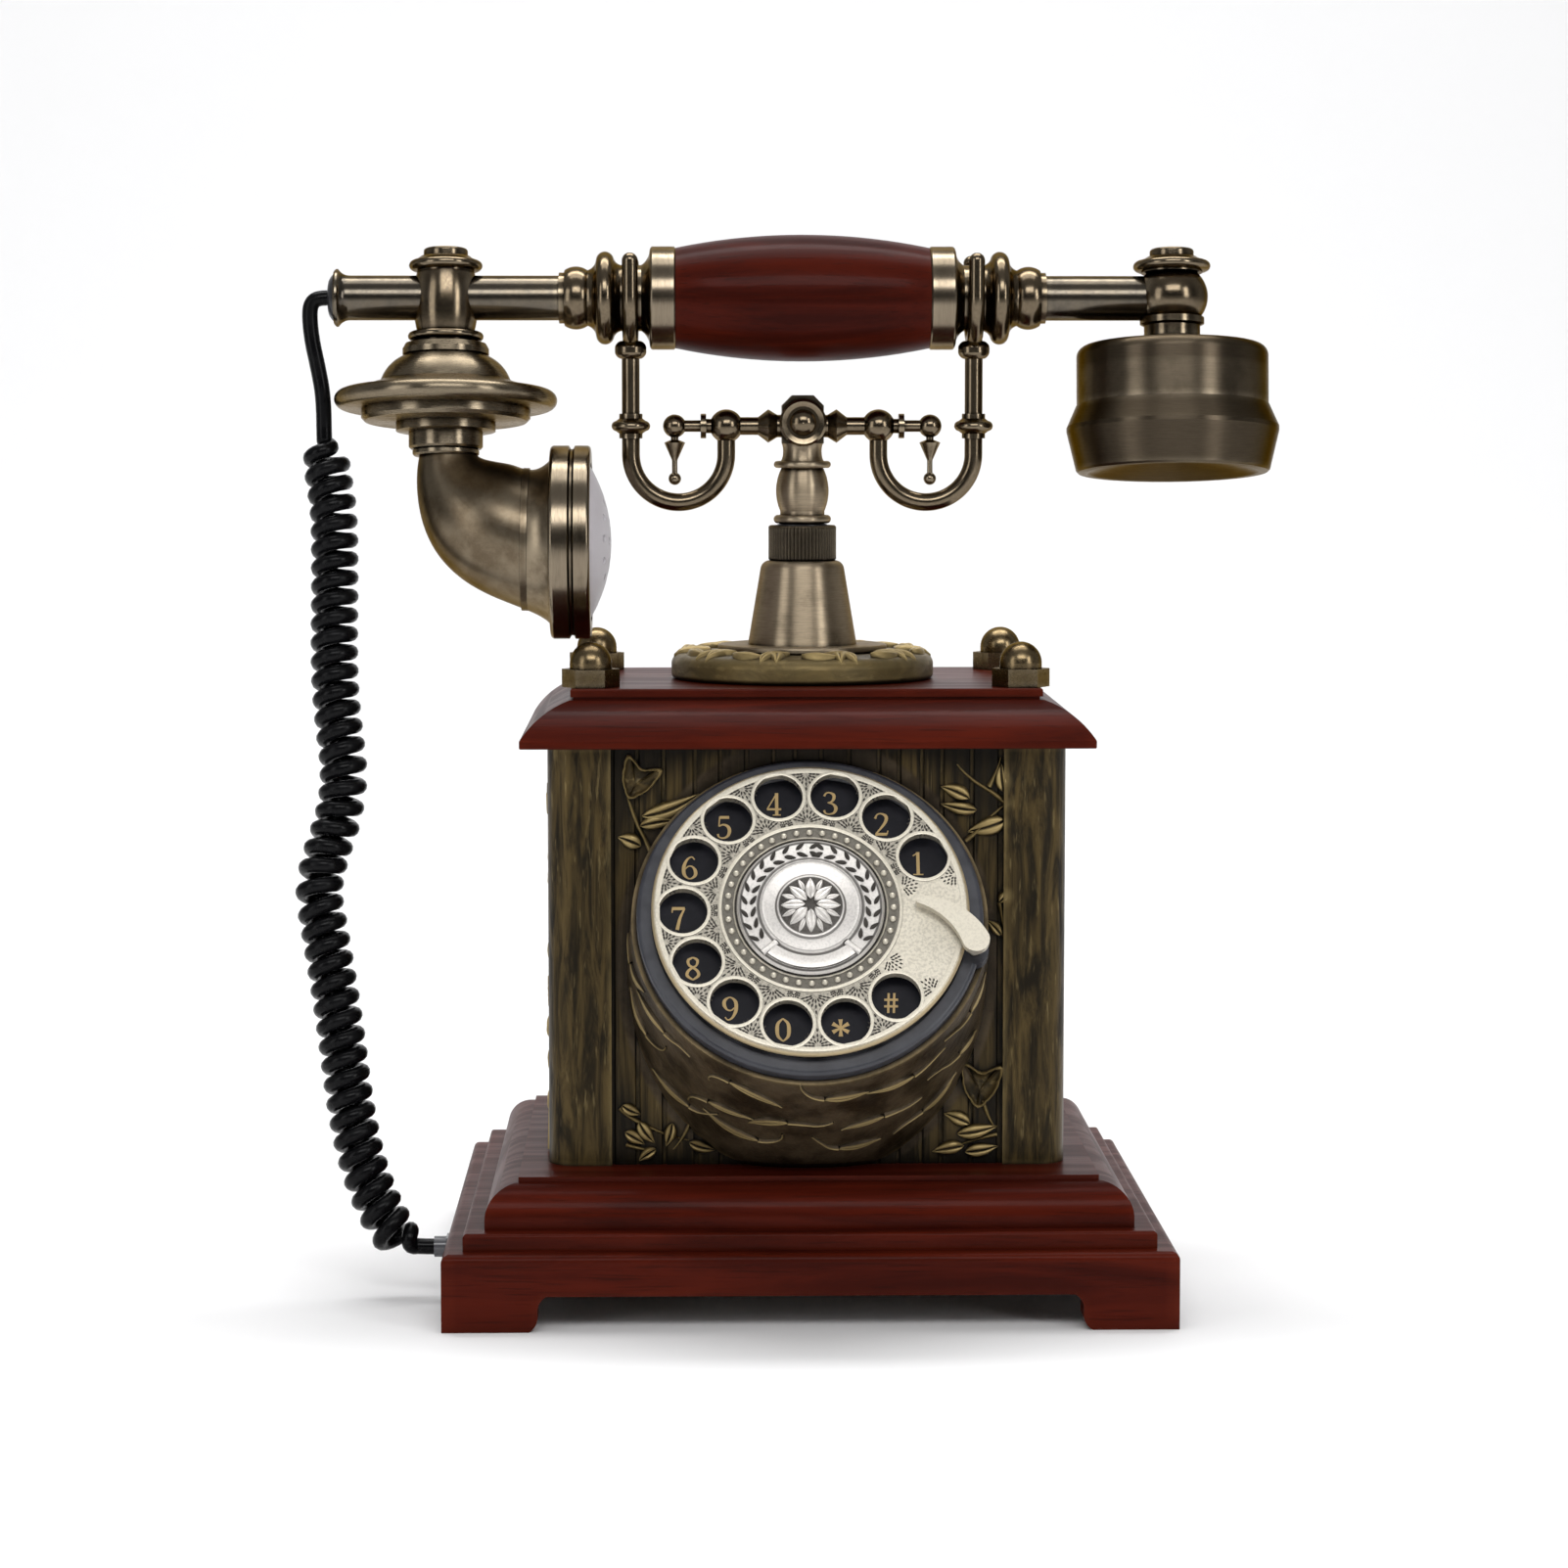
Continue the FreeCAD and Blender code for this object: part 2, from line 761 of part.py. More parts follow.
plain_nuts = []
acorn_nuts = []
for number, (side_x, side_y) in enumerate(((1, 1), (-1, 1), (-1, -1), (1, -1)), start=1):
    nut = new_body("plain_nut_%d" % number)
    pad(nut, "XY_Plane", S.hex_height, [hexagon(S.hex_corner_radius)], [(0, 0, S.rod_radius)])
    place(nut, rod_x * side_x, casing_y + rod_y * side_y, cover_low - S.hex_height)
    plain_nuts.append(nut)
    acorn = new_body("acorn_nut_%d" % number)
    pad(acorn, "XY_Plane", S.nut_height, [hexagon(S.nut_corner_radius)])
    dome = [
        (0, S.nut_height - 1),
        (S.nut_dome_radius, S.nut_height - 1),
        (S.nut_dome_radius, S.nut_height + 1.6),
        (0, S.nut_height + S.nut_dome_height, "ball"),
    ]
    revolve(acorn, dome)
    bore = [(0, -1), (S.rod_radius, -1), (S.rod_radius, S.nut_height + 3), (0, S.nut_height + 3)]
    revolve(acorn, bore, cut=True)
    place(acorn, rod_x * side_x, casing_y + rod_y * side_y, lid_top)
    acorn_nuts.append(acorn)
keep(group("tie_rod_nuts", plain_nuts))
keep(group("acorn_nuts", acorn_nuts))

# Pedestal: flange, cone with its foot disc, and knurled collar.
guide = S.plunger_radius + S.plunger_clearance
fr = S.flange_radius
flange = [
    (guide + 1, 0),
    (fr - 1.5, 0),
    (fr, 1.5, 90),
    (fr, S.flange_height - 3.5),
    (fr - 3, S.flange_height - 0.5, 80),
    (S.disc_radius + 3, S.flange_height),
    (guide + 1, S.flange_height),
]
keep(place(turned("pedestal_flange", flange), 0, casing_y, lid_top))
cone_hold = S.cone_height + S.disc_height
cone = [
    (guide, 0),
    (S.disc_radius - 0.4, 0),
    (S.disc_radius, 0.6, 60),
    (S.disc_radius, S.disc_height - 0.6),
    (S.disc_radius - 0.6, S.disc_height, 80),
    (S.cone_base_radius, S.disc_height),
    (S.cone_top_radius + 0.4, cone_hold - 2.4),
    (S.cone_top_radius - 1.9, cone_hold, 75),
    (S.cone_cavity, cone_hold),
    (S.cone_cavity, S.disc_height + 1),
    (guide, S.disc_height + 1),
]
keep(place(turned("pedestal_cone", cone), 0, casing_y, flange_top))
collar = turned(
    "knurled_collar",
    [
        (guide, -1.6),
        (S.cone_cavity - 0.1, -1.6),
        (S.cone_cavity - 0.1, 0),
        (S.collar_radius - 0.5, 0),
        (S.collar_radius, 0.5),
        (S.collar_radius, S.collar_height - 0.5),
        (S.collar_radius - 0.5, S.collar_height),
        (guide, S.collar_height),
    ],
)
flute = pocket(
    collar,
    "XY_Plane",
    S.collar_height - 1,
    circles=[(S.collar_radius + 0.55 - S.knurl_depth, 0, 0.55)],
    offset=size(0.5),
    back=True,
)
ring_of(collar, flute, S.knurl_count, 360)
keep(place(collar, 0, casing_y, cone_top))

# Cradle: plunger, column, head, two arms, two hooks with forks, and pendants.
tail = column_base - casing_top + S.plunger_tail
seat = 12
collar_high = cone_top - column_base - 6.2
plunger = [
    (0, -tail),
    (S.plunger_radius, -tail),
    (S.plunger_radius, collar_high - 2),
    (S.plunger_collar, collar_high - 2),
    (S.plunger_collar, collar_high),
    (S.plunger_radius, collar_high),
    (S.plunger_radius, seat),
    (0, seat),
]
keep(place(turned("plunger_rod", plunger), 0, casing_y, column_base))
top = S.column_height
column = [
    (S.plunger_radius, 0),
    (S.column_ring - 0.9, 0),
    (S.column_ring - 0.9, 2.4, 150),
    (S.vase_foot_radius, 2.4),
    (S.vase_foot_radius, 3.6),
    (S.vase_radius, 8.6, 20),
    (S.vase_neck_radius, 16.2, 30),
    (S.column_ring - 0.8, 16.2),
    (S.column_ring - 0.8, 18.2, 150),
    (S.vase_neck_radius + 0.2, 18.2),
    (S.vase_neck_radius - 0.4, 20.4, -30),
    (S.head_width / 2, top, -30),
    (0, top),
    (0, seat),
    (S.plunger_radius, seat),
]
keep(place(turned("cradle_column", column), 0, casing_y, column_base))
hw = S.head_width / 2
arm_socket = S.arm_height
head = new_body("cradle_head")
head_face = [
    (-hw, 0),
    (hw, 0),
    (hw, S.head_height - S.head_chamfer),
    (hw - S.head_chamfer, S.head_height),
    (-hw + S.head_chamfer, S.head_height),
    (-hw, S.head_height - S.head_chamfer),
]
pad(head, "XZ_Plane", S.head_width, [head_face], middle=True)
pocket(head, "YZ_Plane", S.head_width * 2, circles=[(0, arm_socket, 2.2)], middle=True)
keep(place(head, 0, casing_y, head_base))
boss = [
    (0, 0),
    (S.boss_radius - 0.6, 0),
    (S.boss_radius, 0.6),
    (S.boss_radius, 1.9),
    (S.boss_radius - 0.7, 2.6),
    (S.boss_dome + 0.9, 2.2),
    (S.boss_dome, 2.2),
    (0, 4.2, "ball"),
]
keep(place(turned("head_boss", boss), 0, casing_y - hw, arm_z + 1, 90))


def mirrored_x(outline, side):
    """The same outline on the left, drawn the other way round so that its arcs keep their sides."""
    if side > 0:
        return outline
    flipped = []
    count = len(outline)
    for index in range(count - 1, -1, -1):
        arriving = outline[(index + 1) % count][2:]
        flipped.append((-size(outline[index][0]), outline[index][1]) + tuple(arriving))
    return flipped


ball = S.arm_ball
end_ball = S.arm_end_ball
tilt_deep = 0.86
arm_outline = [
    (1.2, 0),
    (S.arm_end_x + end_ball, 0),
    (S.arm_end_x - end_ball * tilt_deep, S.arm_thin_radius, "ball"),
    (29.8, S.arm_thin_radius),
    (29.8, S.arm_thin_radius + 1.9),
    (28.2, S.arm_thin_radius + 1.9),
    (28.2, S.arm_radius - 0.5),
    (S.arm_ball_x + ball * 0.9, S.arm_radius - 0.5),
    (S.arm_ball_x - ball * 0.85, S.arm_radius, "ball"),
    (13, S.arm_radius),
    (10, ball),
    (7.4, S.arm_radius + 0.7),
    (hw, S.arm_radius + 0.7),
    (hw, 2.2),
    (1.2, 2.2),
]
for name, side in (("left", -1), ("right", 1)):
    arm = turned("crossarm_" + name, mirrored_x(arm_outline, side), "H_Axis")
    pocket(arm, "XY_Plane", 12, circles=[(S.arm_ball_x * side, 0, S.hook_tube)])
    pocket(arm, "XY_Plane", 12, circles=[(S.arm_end_x * side, 0, 1.1)])
    keep(place(arm, 0, casing_y, arm_z))

    hook_reach = S.hook_x - S.arm_ball_x
    fork_base = S.handset_rise - S.neck_radius - S.fork_clearance - S.fork_wire * 2 - 3
    tube = new_body("hook_tube_" + name)
    spine = tube.newObject("Sketcher::SketchObject", "hook_line_" + name)
    spine.AttachmentSupport = [(origin_part(tube, "XZ_Plane"), "")]
    spine.MapMode = "FlatFace"
    inner_x = S.arm_ball_x * side
    outer_x = S.hook_x * side
    first = Vector(inner_x.value, 0, 0)
    low_in = Vector(inner_x.value, -S.hook_drop.value, 0)
    low_out = Vector(outer_x.value, -S.hook_drop.value, 0)
    last = Vector(outer_x.value, fork_base.value, 0)
    arc = arc_between(low_in, low_out, 180 * side)
    spine.addGeometry([Part.LineSegment(first, low_in), arc, Part.LineSegment(low_out, last)], False)
    arc_in, arc_out = (1, 2) if side > 0 else (2, 1)
    numbers = spine.addConstraint(
        [
            Sketcher.Constraint("Coincident", 0, 2, 1, arc_in),
            Sketcher.Constraint("Coincident", 1, arc_out, 2, 1),
            Sketcher.Constraint("PointOnObject", 0, 1, -1),
            Sketcher.Constraint("Vertical", 0),
            Sketcher.Constraint("Vertical", 2),
            Sketcher.Constraint("Angle", 1, math.pi),
            Sketcher.Constraint("DistanceX", -1, 1, 0, 1, inner_x.value),
            Sketcher.Constraint("DistanceY", -1, 1, 0, 2, -S.hook_drop.value),
            Sketcher.Constraint("DistanceX", -1, 1, 2, 1, outer_x.value),
            Sketcher.Constraint("DistanceY", -1, 1, 2, 1, -S.hook_drop.value),
            Sketcher.Constraint("DistanceY", -1, 1, 2, 2, fork_base.value),
        ]
    )
    for number, amount in zip(numbers[6:], (inner_x, -S.hook_drop, outer_x, -S.hook_drop, fork_base)):
        spine.setExpression("Constraints[%d]" % number, amount.text)
    section = sketch_on(tube, "XY_Plane", circles=[(inner_x, 0, S.hook_tube)])
    sweep = tube.newObject("PartDesign::AdditivePipe", "hook_sweep_" + name)
    sweep.Profile = section
    sweep.Spine = (spine, ["Edge1", "Edge2", "Edge3"])
    place(tube, 0, casing_y, arm_z)
    ring = turned(
        "hook_ring_" + name,
        [
            (0, -3.6),
            (S.hook_tube + 0.8, -3.6),
            (S.hook_tube + 0.8, -2.2),
            (S.hook_ring - 0.8, -1.5),
            (S.hook_ring - 0.8, 1.5, 160),
            (S.hook_tube + 0.8, 2.2),
            (S.hook_tube + 0.8, 3.6),
            (0, 3.6),
        ],
    )
    place(ring, outer_x, casing_y, arm_z)
    keep(join("hook_" + name, [tube, ring]))

    fork_half = S.neck_radius + S.fork_clearance + S.fork_wire
    fork_top = S.fork_rise - S.fork_wire
    prongs = new_body("fork_prongs_" + name)
    bow = prongs.newObject("Sketcher::SketchObject", "fork_line_" + name)
    bow.AttachmentSupport = [(origin_part(prongs, "YZ_Plane"), "")]
    bow.MapMode = "FlatFace"
    front_top = Vector(-fork_half.value, fork_top.value, 0)
    front_low = Vector(-fork_half.value, 0, 0)
    back_low = Vector(fork_half.value, 0, 0)
    back_top = Vector(fork_half.value, fork_top.value, 0)
    bend = arc_between(front_low, back_low, 180)
    bow.addGeometry([Part.LineSegment(front_top, front_low), bend, Part.LineSegment(back_low, back_top)], False)
    numbers = bow.addConstraint(
        [
            Sketcher.Constraint("Coincident", 0, 2, 1, 1),
            Sketcher.Constraint("Coincident", 1, 2, 2, 1),
            Sketcher.Constraint("PointOnObject", 0, 2, -1),
            Sketcher.Constraint("PointOnObject", 2, 1, -1),
            Sketcher.Constraint("Vertical", 0),
            Sketcher.Constraint("Vertical", 2),
            Sketcher.Constraint("Angle", 1, math.pi),
            Sketcher.Constraint("DistanceX", -1, 1, 0, 2, -fork_half.value),
            Sketcher.Constraint("DistanceX", -1, 1, 2, 1, fork_half.value),
            Sketcher.Constraint("DistanceY", -1, 1, 0, 1, fork_top.value),
            Sketcher.Constraint("DistanceY", -1, 1, 2, 2, fork_top.value),
        ]
    )
    for number, amount in zip(numbers[7:], (-fork_half, fork_half, fork_top, fork_top)):
        bow.setExpression("Constraints[%d]" % number, amount.text)
    section = sketch_on(prongs, "XY_Plane", circles=[(0, -fork_half, S.fork_wire)], offset=fork_top)
    sweep = prongs.newObject("PartDesign::AdditivePipe", "fork_sweep_" + name)
    sweep.Profile = section
    sweep.Spine = (bow, ["Edge1", "Edge2", "Edge3"])
    place(prongs, outer_x, casing_y, handset_z)
    tips = []
    for word, way_out in (("front", -1), ("back", 1)):
        tip_outline = [
            (0, 0),
            (S.fork_wire, 0),
            (S.fork_wire * 0.26, S.fork_wire * 0.965, 75),
            (0, S.fork_wire * 0.965),
        ]
        tip = turned("fork_tip_%s_%s" % (word, name), tip_outline)
        tips.append(place(tip, outer_x, casing_y + fork_half * way_out, handset_z + fork_top))
    foot = turned(
        "fork_foot_" + name,
        [
            (0, 0),
            (S.hook_tube + 0.4, 0),
            (4.6, 1.8, 60),
            (4.6, 3.4),
            (2.9, 5.2, 60),
            (0, 5.2),
        ],
    )
    place(foot, outer_x, casing_y, arm_z + fork_base)
    keep(join("fork_" + name, [prongs, foot, *tips]))

pendant_outline = [
    (0, -end_ball - 13.8),
    (0.8, -end_ball - 10.3, "ball"),
    (0.8, -end_ball - 6.6),
    (3.1, -end_ball - 1.4),
    (1.1, -end_ball - 0.6),
    (1.1, 0),
    (0, 0),
]
pendants = []
for name, side in (("left", -1), ("right", 1)):
    drop = turned("pendant_" + name, pendant_outline)
    pendants.append(place(drop, S.arm_end_x * side, casing_y, arm_z))
keep(group("pendants", pendants))

# Handset: pieces lie along its own level axis, which is rolled a little towards the viewer.
def on_handset(thing, x=0):
    return place(thing, x, casing_y, handset_z, -S.handset_roll)


way = S.tube_bore
grip = [
    (-S.grip_half, way),
    (S.grip_half, way),
    (S.grip_half, S.grip_end_radius),
    (0, S.grip_radius, 11.7),
    (-S.grip_half, S.grip_end_radius, 11.7),
]
keep(on_handset(turned("grip", grip, "H_Axis")))
ferrule_end = S.grip_half + S.ferrule_length
ferrule = [
    (S.grip_half, way),
    (S.neck_start, way),
    (S.neck_start, S.neck_radius),
    (ferrule_end + 0.3, S.ferrule_radius - 1.2, -50),
    (ferrule_end - 0.5, S.ferrule_radius, 70),
    (S.grip_half + 0.5, S.ferrule_radius),
    (S.grip_half, S.ferrule_radius - 0.5),
]
ring_end = S.neck_ring_x + S.neck_ring_width
ring_middle = S.neck_ring_x + S.neck_ring_width / 2
neck = [
    (S.neck_start, way),
    (S.neck_end, way),
    (S.neck_end, S.tube_radius + 0.9),
    (S.neck_end - 1.6, S.tube_radius + 0.9),
    (S.neck_end - 1.6, S.neck_small_radius - 0.6),
    (ring_end + 0.9, S.neck_small_radius - 0.6, 70),
    (ring_middle + 2.6, S.neck_ring_radius - 2.2, -70),
    (ring_middle - 2.6, S.neck_ring_radius - 2.2, 161),
    (S.neck_ring_x - 0.4, S.neck_radius, -50),
    (S.neck_start, S.neck_radius),
]
for name, side in (("left", -1), ("right", 1)):
    keep(on_handset(turned("ferrule_" + name, mirrored_x(ferrule, side), "H_Axis")))
    keep(on_handset(turned("neck_" + name, mirrored_x(neck, side), "H_Axis")))
tube_left = [
    (S.neck_end, way),
    (S.tube_end, way),
    (S.tube_end, S.tube_rim - 0.6),
    (S.tube_end - 0.6, S.tube_rim),
    (S.tube_end - 1.2, S.tube_rim),
    (S.tube_end - 4.2, S.tube_radius, -55),
    (S.neck_end, S.tube_radius),
]
keep(on_handset(turned("tube_left", mirrored_x(tube_left, -1), "H_Axis")))
tube_right_end = S.tee_right_x - 4.5
tube_right = rectangle(S.neck_end, tube_right_end, way, S.tube_radius)
keep(on_handset(turned("tube_right", tube_right, "H_Axis")))
grommet_end = S.tube_end + S.grommet_length
grommet = [
    (S.tube_end - 4.6, 0),
    (grommet_end, 0),
    (grommet_end, 3.4),
    (S.tube_end, S.tube_rim - 1.4, 55),
    (S.tube_end, way),
    (S.tube_end - 4.6, way),
]
keep(on_handset(turned("cord_grommet", mirrored_x(grommet, -1), "H_Axis")))

# Tees, in heights from the handset's axis, with a finial cap on each.
tee_top = S.tube_radius + 0.9
tee_foot = -13.5
tee_left = turned(
    "tee_left",
    [
        (0, tee_foot),
        (S.tee_barrel - 0.2, tee_foot),
        (S.tee_barrel - 0.2, tee_foot + 0.8),
        (S.tee_barrel + 0.5, tee_foot + 1.0),
        (S.tee_barrel + 0.5, tee_foot + 3.4, 170),
        (S.tee_barrel - 1, tee_foot + 3.8),
        (S.tee_barrel - 1, tee_top, 28),
        (0, tee_top),
    ],
)
pocket(tee_left, "YZ_Plane", S.tee_barrel * 4, circles=[(0, 0, S.tube_radius)], middle=True)
keep(on_handset(tee_left, -S.tee_left_x))
neck_foot = -11.4
tee_right = turned(
    "tee_right",
    [
        (0, neck_foot),
        (8.2, neck_foot),
        (8.2, neck_foot + 3.2),
        (9.4, neck_foot + 3.8),
        (9.4, neck_foot + 5.6),
        (8.6, neck_foot + 6.2),
        (S.tee_ball - 3.2, tee_top, 85),
        (0, tee_top),
    ],
)
pocket(tee_right, "YZ_Plane", 20, circles=[(0, 0, S.tube_radius)], offset=tube_right_end - S.tee_right_x)
keep(on_handset(tee_right, S.tee_right_x))


def finial_cap(label, rim, x):
    cap = [
        (0, tee_top),
        (rim - 2.4, tee_top),
        (rim - 2.4, tee_top + 0.5),
        (rim - 1.3, tee_top + 0.6),
        (rim - 1.3, tee_top + 3.4, 170),
        (S.cap_disc + 0.9, tee_top + 4.6, -25),
        (S.cap_disc, tee_top + 4.6),
        (S.cap_disc, tee_top + 6.2),
        (S.cap_disc - 0.8, tee_top + 7.0, 80),
        (0, tee_top + 7.4),
    ]
    return on_handset(turned(label, cap), x)


caps = [
    finial_cap("cap_left", S.cap_left_rim, -S.tee_left_x),
    finial_cap("cap_right", S.cap_right_rim, S.tee_right_x),
]
keep(group("finial_caps", caps))

# Saucer between the left tee and the horn.
sr = S.saucer_radius
saucer_low = -S.saucer_z - S.saucer_edge / 2
saucer = [
    (7.6, -S.saucer_foot),
    (9.2, -S.saucer_foot),
    (9.7, -S.saucer_foot + 0.5),
    (9.7, -S.saucer_foot + 1.5),
    (9.2, -S.saucer_foot + 2),
    (10.2, -S.saucer_foot + 2),
    (10.8, -S.saucer_foot + 2.6),
    (10.8, -39.4),
    (14.5, -39.0),
    (14.5, -36.6),
    (23.6, -36.2),
    (24.6, -35.2),
    (24.6, saucer_low - 0.4),
    (sr - 1.9, saucer_low),
    (sr - 1.9, saucer_low + S.saucer_edge, 150),
    (19.0, -24.4, -14),
    (12.2, -17.0, 50),
    (12.6, -16.6),
    (12.6, -15.0),
    (11.8, tee_foot),
    (0, tee_foot),
    (0, tee_foot - 2.5),
    (7.6, tee_foot - 2.5),
]
keep(on_handset(turned("transmitter_flange", saucer), -S.tee_left_x))

# Horn: circles between its outer and inner line, hollow. Both lines are shares of the way out to the
# mouthpiece and of the way down to the mouthpiece's middle.
HORN_LINES = (
    (-0.252, 0.0, 0.305, 0.0),
    (-0.275, 0.21, 0.325, 0.016),
    (-0.269, 0.468, 0.354, 0.032),
    (-0.210, 0.817, 0.393, 0.048),
    (-0.075, 1.143, 0.452, 0.063),
    (0.164, 1.433, 0.544, 0.083),
    (0.479, 1.643, 0.656, 0.115),
    (0.751, 1.774, 0.774, 0.159),
    (1.0, 1.952, 1.0, 0.048),
)
mouth_z = -(S.saucer_foot + S.mouth_drop)
mouth_x = -S.tee_left_x + S.mouth_out


def horn_circle(line, grow, push):
    """One circle of the horn between its two lines, in four arcs that start at the inner line."""
    out = S.mouth_out.value
    drop = S.mouth_drop.value
    foot = S.saucer_foot.value
    outer_x, outer_z, inner_x, inner_z = line
    outer = Vector(outer_x * out, 0, -foot - outer_z * drop)
    inner = Vector(inner_x * out, 0, -foot - inner_z * drop)
    across = inner - outer
    along = Vector(across.z, 0, -across.x).normalize()
    middle = (outer + inner) * 0.5 + along * push
    radius = across.Length / 2 + grow
    across.normalize()
    sideways = along.cross(across)
    arcs = []
    for quarter in range(4):
        spots = []
        for turn in (0, 45, 90):
            angle = math.radians(quarter * 90 + turn)
            spots.append(middle + (across * math.cos(angle) + sideways * math.sin(angle)) * radius)
        arcs.append(Part.Arc(*spots).toShape())
    return Part.Wire(arcs)


def horn_skin(grow, extra, ruled):
    wires = []
    last = len(HORN_LINES) - 1
    for number, line in enumerate(HORN_LINES):
        push = -extra if number == 0 else extra if number == last else 0.0
        wires.append(horn_circle(line, grow, push))
    return Part.makeLoft(wires, True, ruled)


horn = horn_skin(0, 0, False)
joint_line = HORN_LINES[-2]
band = Part.makeLoft([horn_circle(joint_line, 0.4, -0.9), horn_circle(joint_line, 0.4, 0.9)], True, True)
horn = horn.fuse(band).cut(horn_skin(-S.horn_wall.value, 0.5, True))
keep(on_handset(plain("elbow_horn", horn), -S.tee_left_x))

# Mouthpiece, about its own level axis below the handset's.
mr = S.mouth_radius
mw = S.mouth_width
mf = S.mouth_face
mouth_ring = [
    (mouth_x, mf - 3),
    (mouth_x + 3, mf - 3),
    (mouth_x + 3, mf + 0.1),
    (mouth_x + mw, mf + 0.1),
    (mouth_x + mw, mr - 1.2),
    (mouth_x + mw - 1.2, mr, 90),
    (mouth_x + mw - 4.6, mr),
    (mouth_x + mw - 5.2, mr - 1),
    (mouth_x + mw - 5.8, mr - 1),
    (mouth_x + mw - 6.4, mr),
    (mouth_x + 1.2, mr),
    (mouth_x, mr - 1.2, 90),
]
keep(on_handset(turned("mouthpiece_ring", mouth_ring, "H_Axis", mouth_z)))
face = [
    (mouth_x + 15.6, 0, "dish"),
    (mouth_x + 17.6, 0),
    (mouth_x + mw - 0.8, mf, "ball"),
    (mouth_x + 3, mf),
    (mouth_x + 3, mf - 2),
    (mouth_x + mw - 2.2, mf - 2),
]
mouth_face = turned("mouthpiece_face", face, "H_Axis", mouth_z)
holes = [(0, 0, 1.1)]
for count, radius in ((6, 6.4), (12, 12.4)):
    for step in range(count):
        angle = 2 * math.pi * step / count
        holes.append((radius * math.cos(angle), radius * math.sin(angle), 1.1))
pocket(mouth_face, "YZ_Plane", 400, circles=holes, middle=True, lift=mouth_z)
keep(on_handset(mouth_face))
capsule = rectangle(mouth_x + 3, mouth_x + 8.4, 0, mf - 2.2)
keep(on_handset(turned("microphone_capsule", capsule, "H_Axis", mouth_z)))

# Receiver: cup, flared cap with a dished face, and the capsule between them.
rr = S.receiver_radius
rw = S.receiver_wall
cup_low = neck_foot - 20.1
cup = [
    (rr - rw, cup_low),
    (rr, cup_low),
    (rr, neck_foot - 5.6),
    (rr - 2.8, neck_foot - 2.6, 80),
    (9.6, neck_foot - 0.7),
    (8.9, neck_foot),
    (0, neck_foot),
    (0, neck_foot - 2.4),
    (rr - 7.4, neck_foot - 5.4),
    (rr - rw, neck_foot - 9.8, -75),
]
keep(on_handset(turned("receiver_cup", cup), S.tee_right_x))
band = S.receiver_band
ear_cap = turned(
    "receiver_cap",
    [
        (0, cup_low - 14.9),
        (rr - 3, cup_low - 19.5, "dish"),
        (rr - 0.3, cup_low - 19.5),
        (rr + 0.3, cup_low - 18.9),
        (band, cup_low - 7.6),
        (band, cup_low - 6.4),
        (rr + 0.2, cup_low),
        (rr - rw - 0.2, cup_low),
        (rr - rw - 0.2, cup_low - 6),
        (rr - 6.5, cup_low - 6),
        (rr - 8, cup_low - 11.4),
        (0, cup_low - 11.4),
    ],
)
ear_holes = [(0, 0, 1.4)]
for step in range(6):
    angle = math.radians(60 * step)
    ear_holes.append((7 * math.cos(angle), 7 * math.sin(angle), 1.4))
pocket(ear_cap, "XY_Plane", 200, circles=ear_holes, middle=True)
keep(on_handset(ear_cap, S.tee_right_x))
ear_capsule = rectangle(0, rr - rw - 0.5, cup_low - 6, cup_low + 2.4)
keep(on_handset(turned("receiver_capsule", ear_capsule), S.tee_right_x))

# Dial: rim, chassis and number plate stand still; wheel, badge, shaft and gear turn together.
rim = S.rim_radius
rh = S.rim_height
wheel_top = S.wheel_back + S.wheel_thickness
stop_x = S.stop_radius * cosine(S.stop_angle)
stop_y = S.stop_radius * sine(S.stop_angle)
dial_ring = turned(
    "dial_ring",
    [
        (S.rim_inner, 0),
        (rim, 0),
        (rim, rh - 1.2),
        (rim - 1.2, rh, 70),
        (S.rim_inner + 1.4, rh),
        (S.rim_inner, rh - 1.4),
    ],
)
pad(dial_ring, "XY_Plane", rh, circles=[(stop_x, stop_y, S.stop_post + 2.3)])
pocket(dial_ring, "XY_Plane", rh * 3, circles=[(stop_x, stop_y, S.stop_post + 0.1)], middle=True)
keep(on_dial(dial_ring))
journal = S.shaft_radius + S.shaft_clearance
gear_reach = S.gear_module * (S.gear_teeth + S.pinion_teeth) / 2
chassis = turned(
    "dial_chassis",
    [
        (journal, -8),
        (S.shaft_radius + 3, -8),
        (S.shaft_radius + 3, -3),
        (S.drum_bore - 0.2, -3),
        (S.drum_bore - 0.2, 0),
        (journal, 0),
    ],
)
pocket(chassis, "XY_Plane", 2.4, circles=[(0, gear_reach, 1.58)], offset=size(-3), back=True)
keep(on_dial(chassis))
plate = rectangle(S.shaft_radius + 2, S.rim_inner - 0.1, 0, S.plate_thickness)
keep(on_dial(turned("number_plate", plate)))
wr = S.wheel_radius
bevel = S.wheel_bevel
wheel = turned(
    "finger_wheel",
    [
        (S.shaft_radius, S.plate_thickness + 0.6),
        (14, S.plate_thickness + 0.6),
        (14, S.wheel_back),
        (wr - bevel, S.wheel_back),
        (wr, S.wheel_back + bevel, 60),
        (wr, wheel_top - bevel),
        (wr - bevel, wheel_top, 60),
        (S.shaft_radius, wheel_top),
    ],
)
finger_x = S.finger_circle * cosine(S.finger_first)
finger_y = S.finger_circle * sine(S.finger_first)
finger_hole = pocket(
    wheel, "XY_Plane", wheel_top * 3, circles=[(finger_x, finger_y, S.finger_hole)], middle=True
)
ring_of(wheel, finger_hole, 12, S.finger_step * 11)
keep(on_dial(wheel))
br = S.badge_radius
bh = S.badge_height
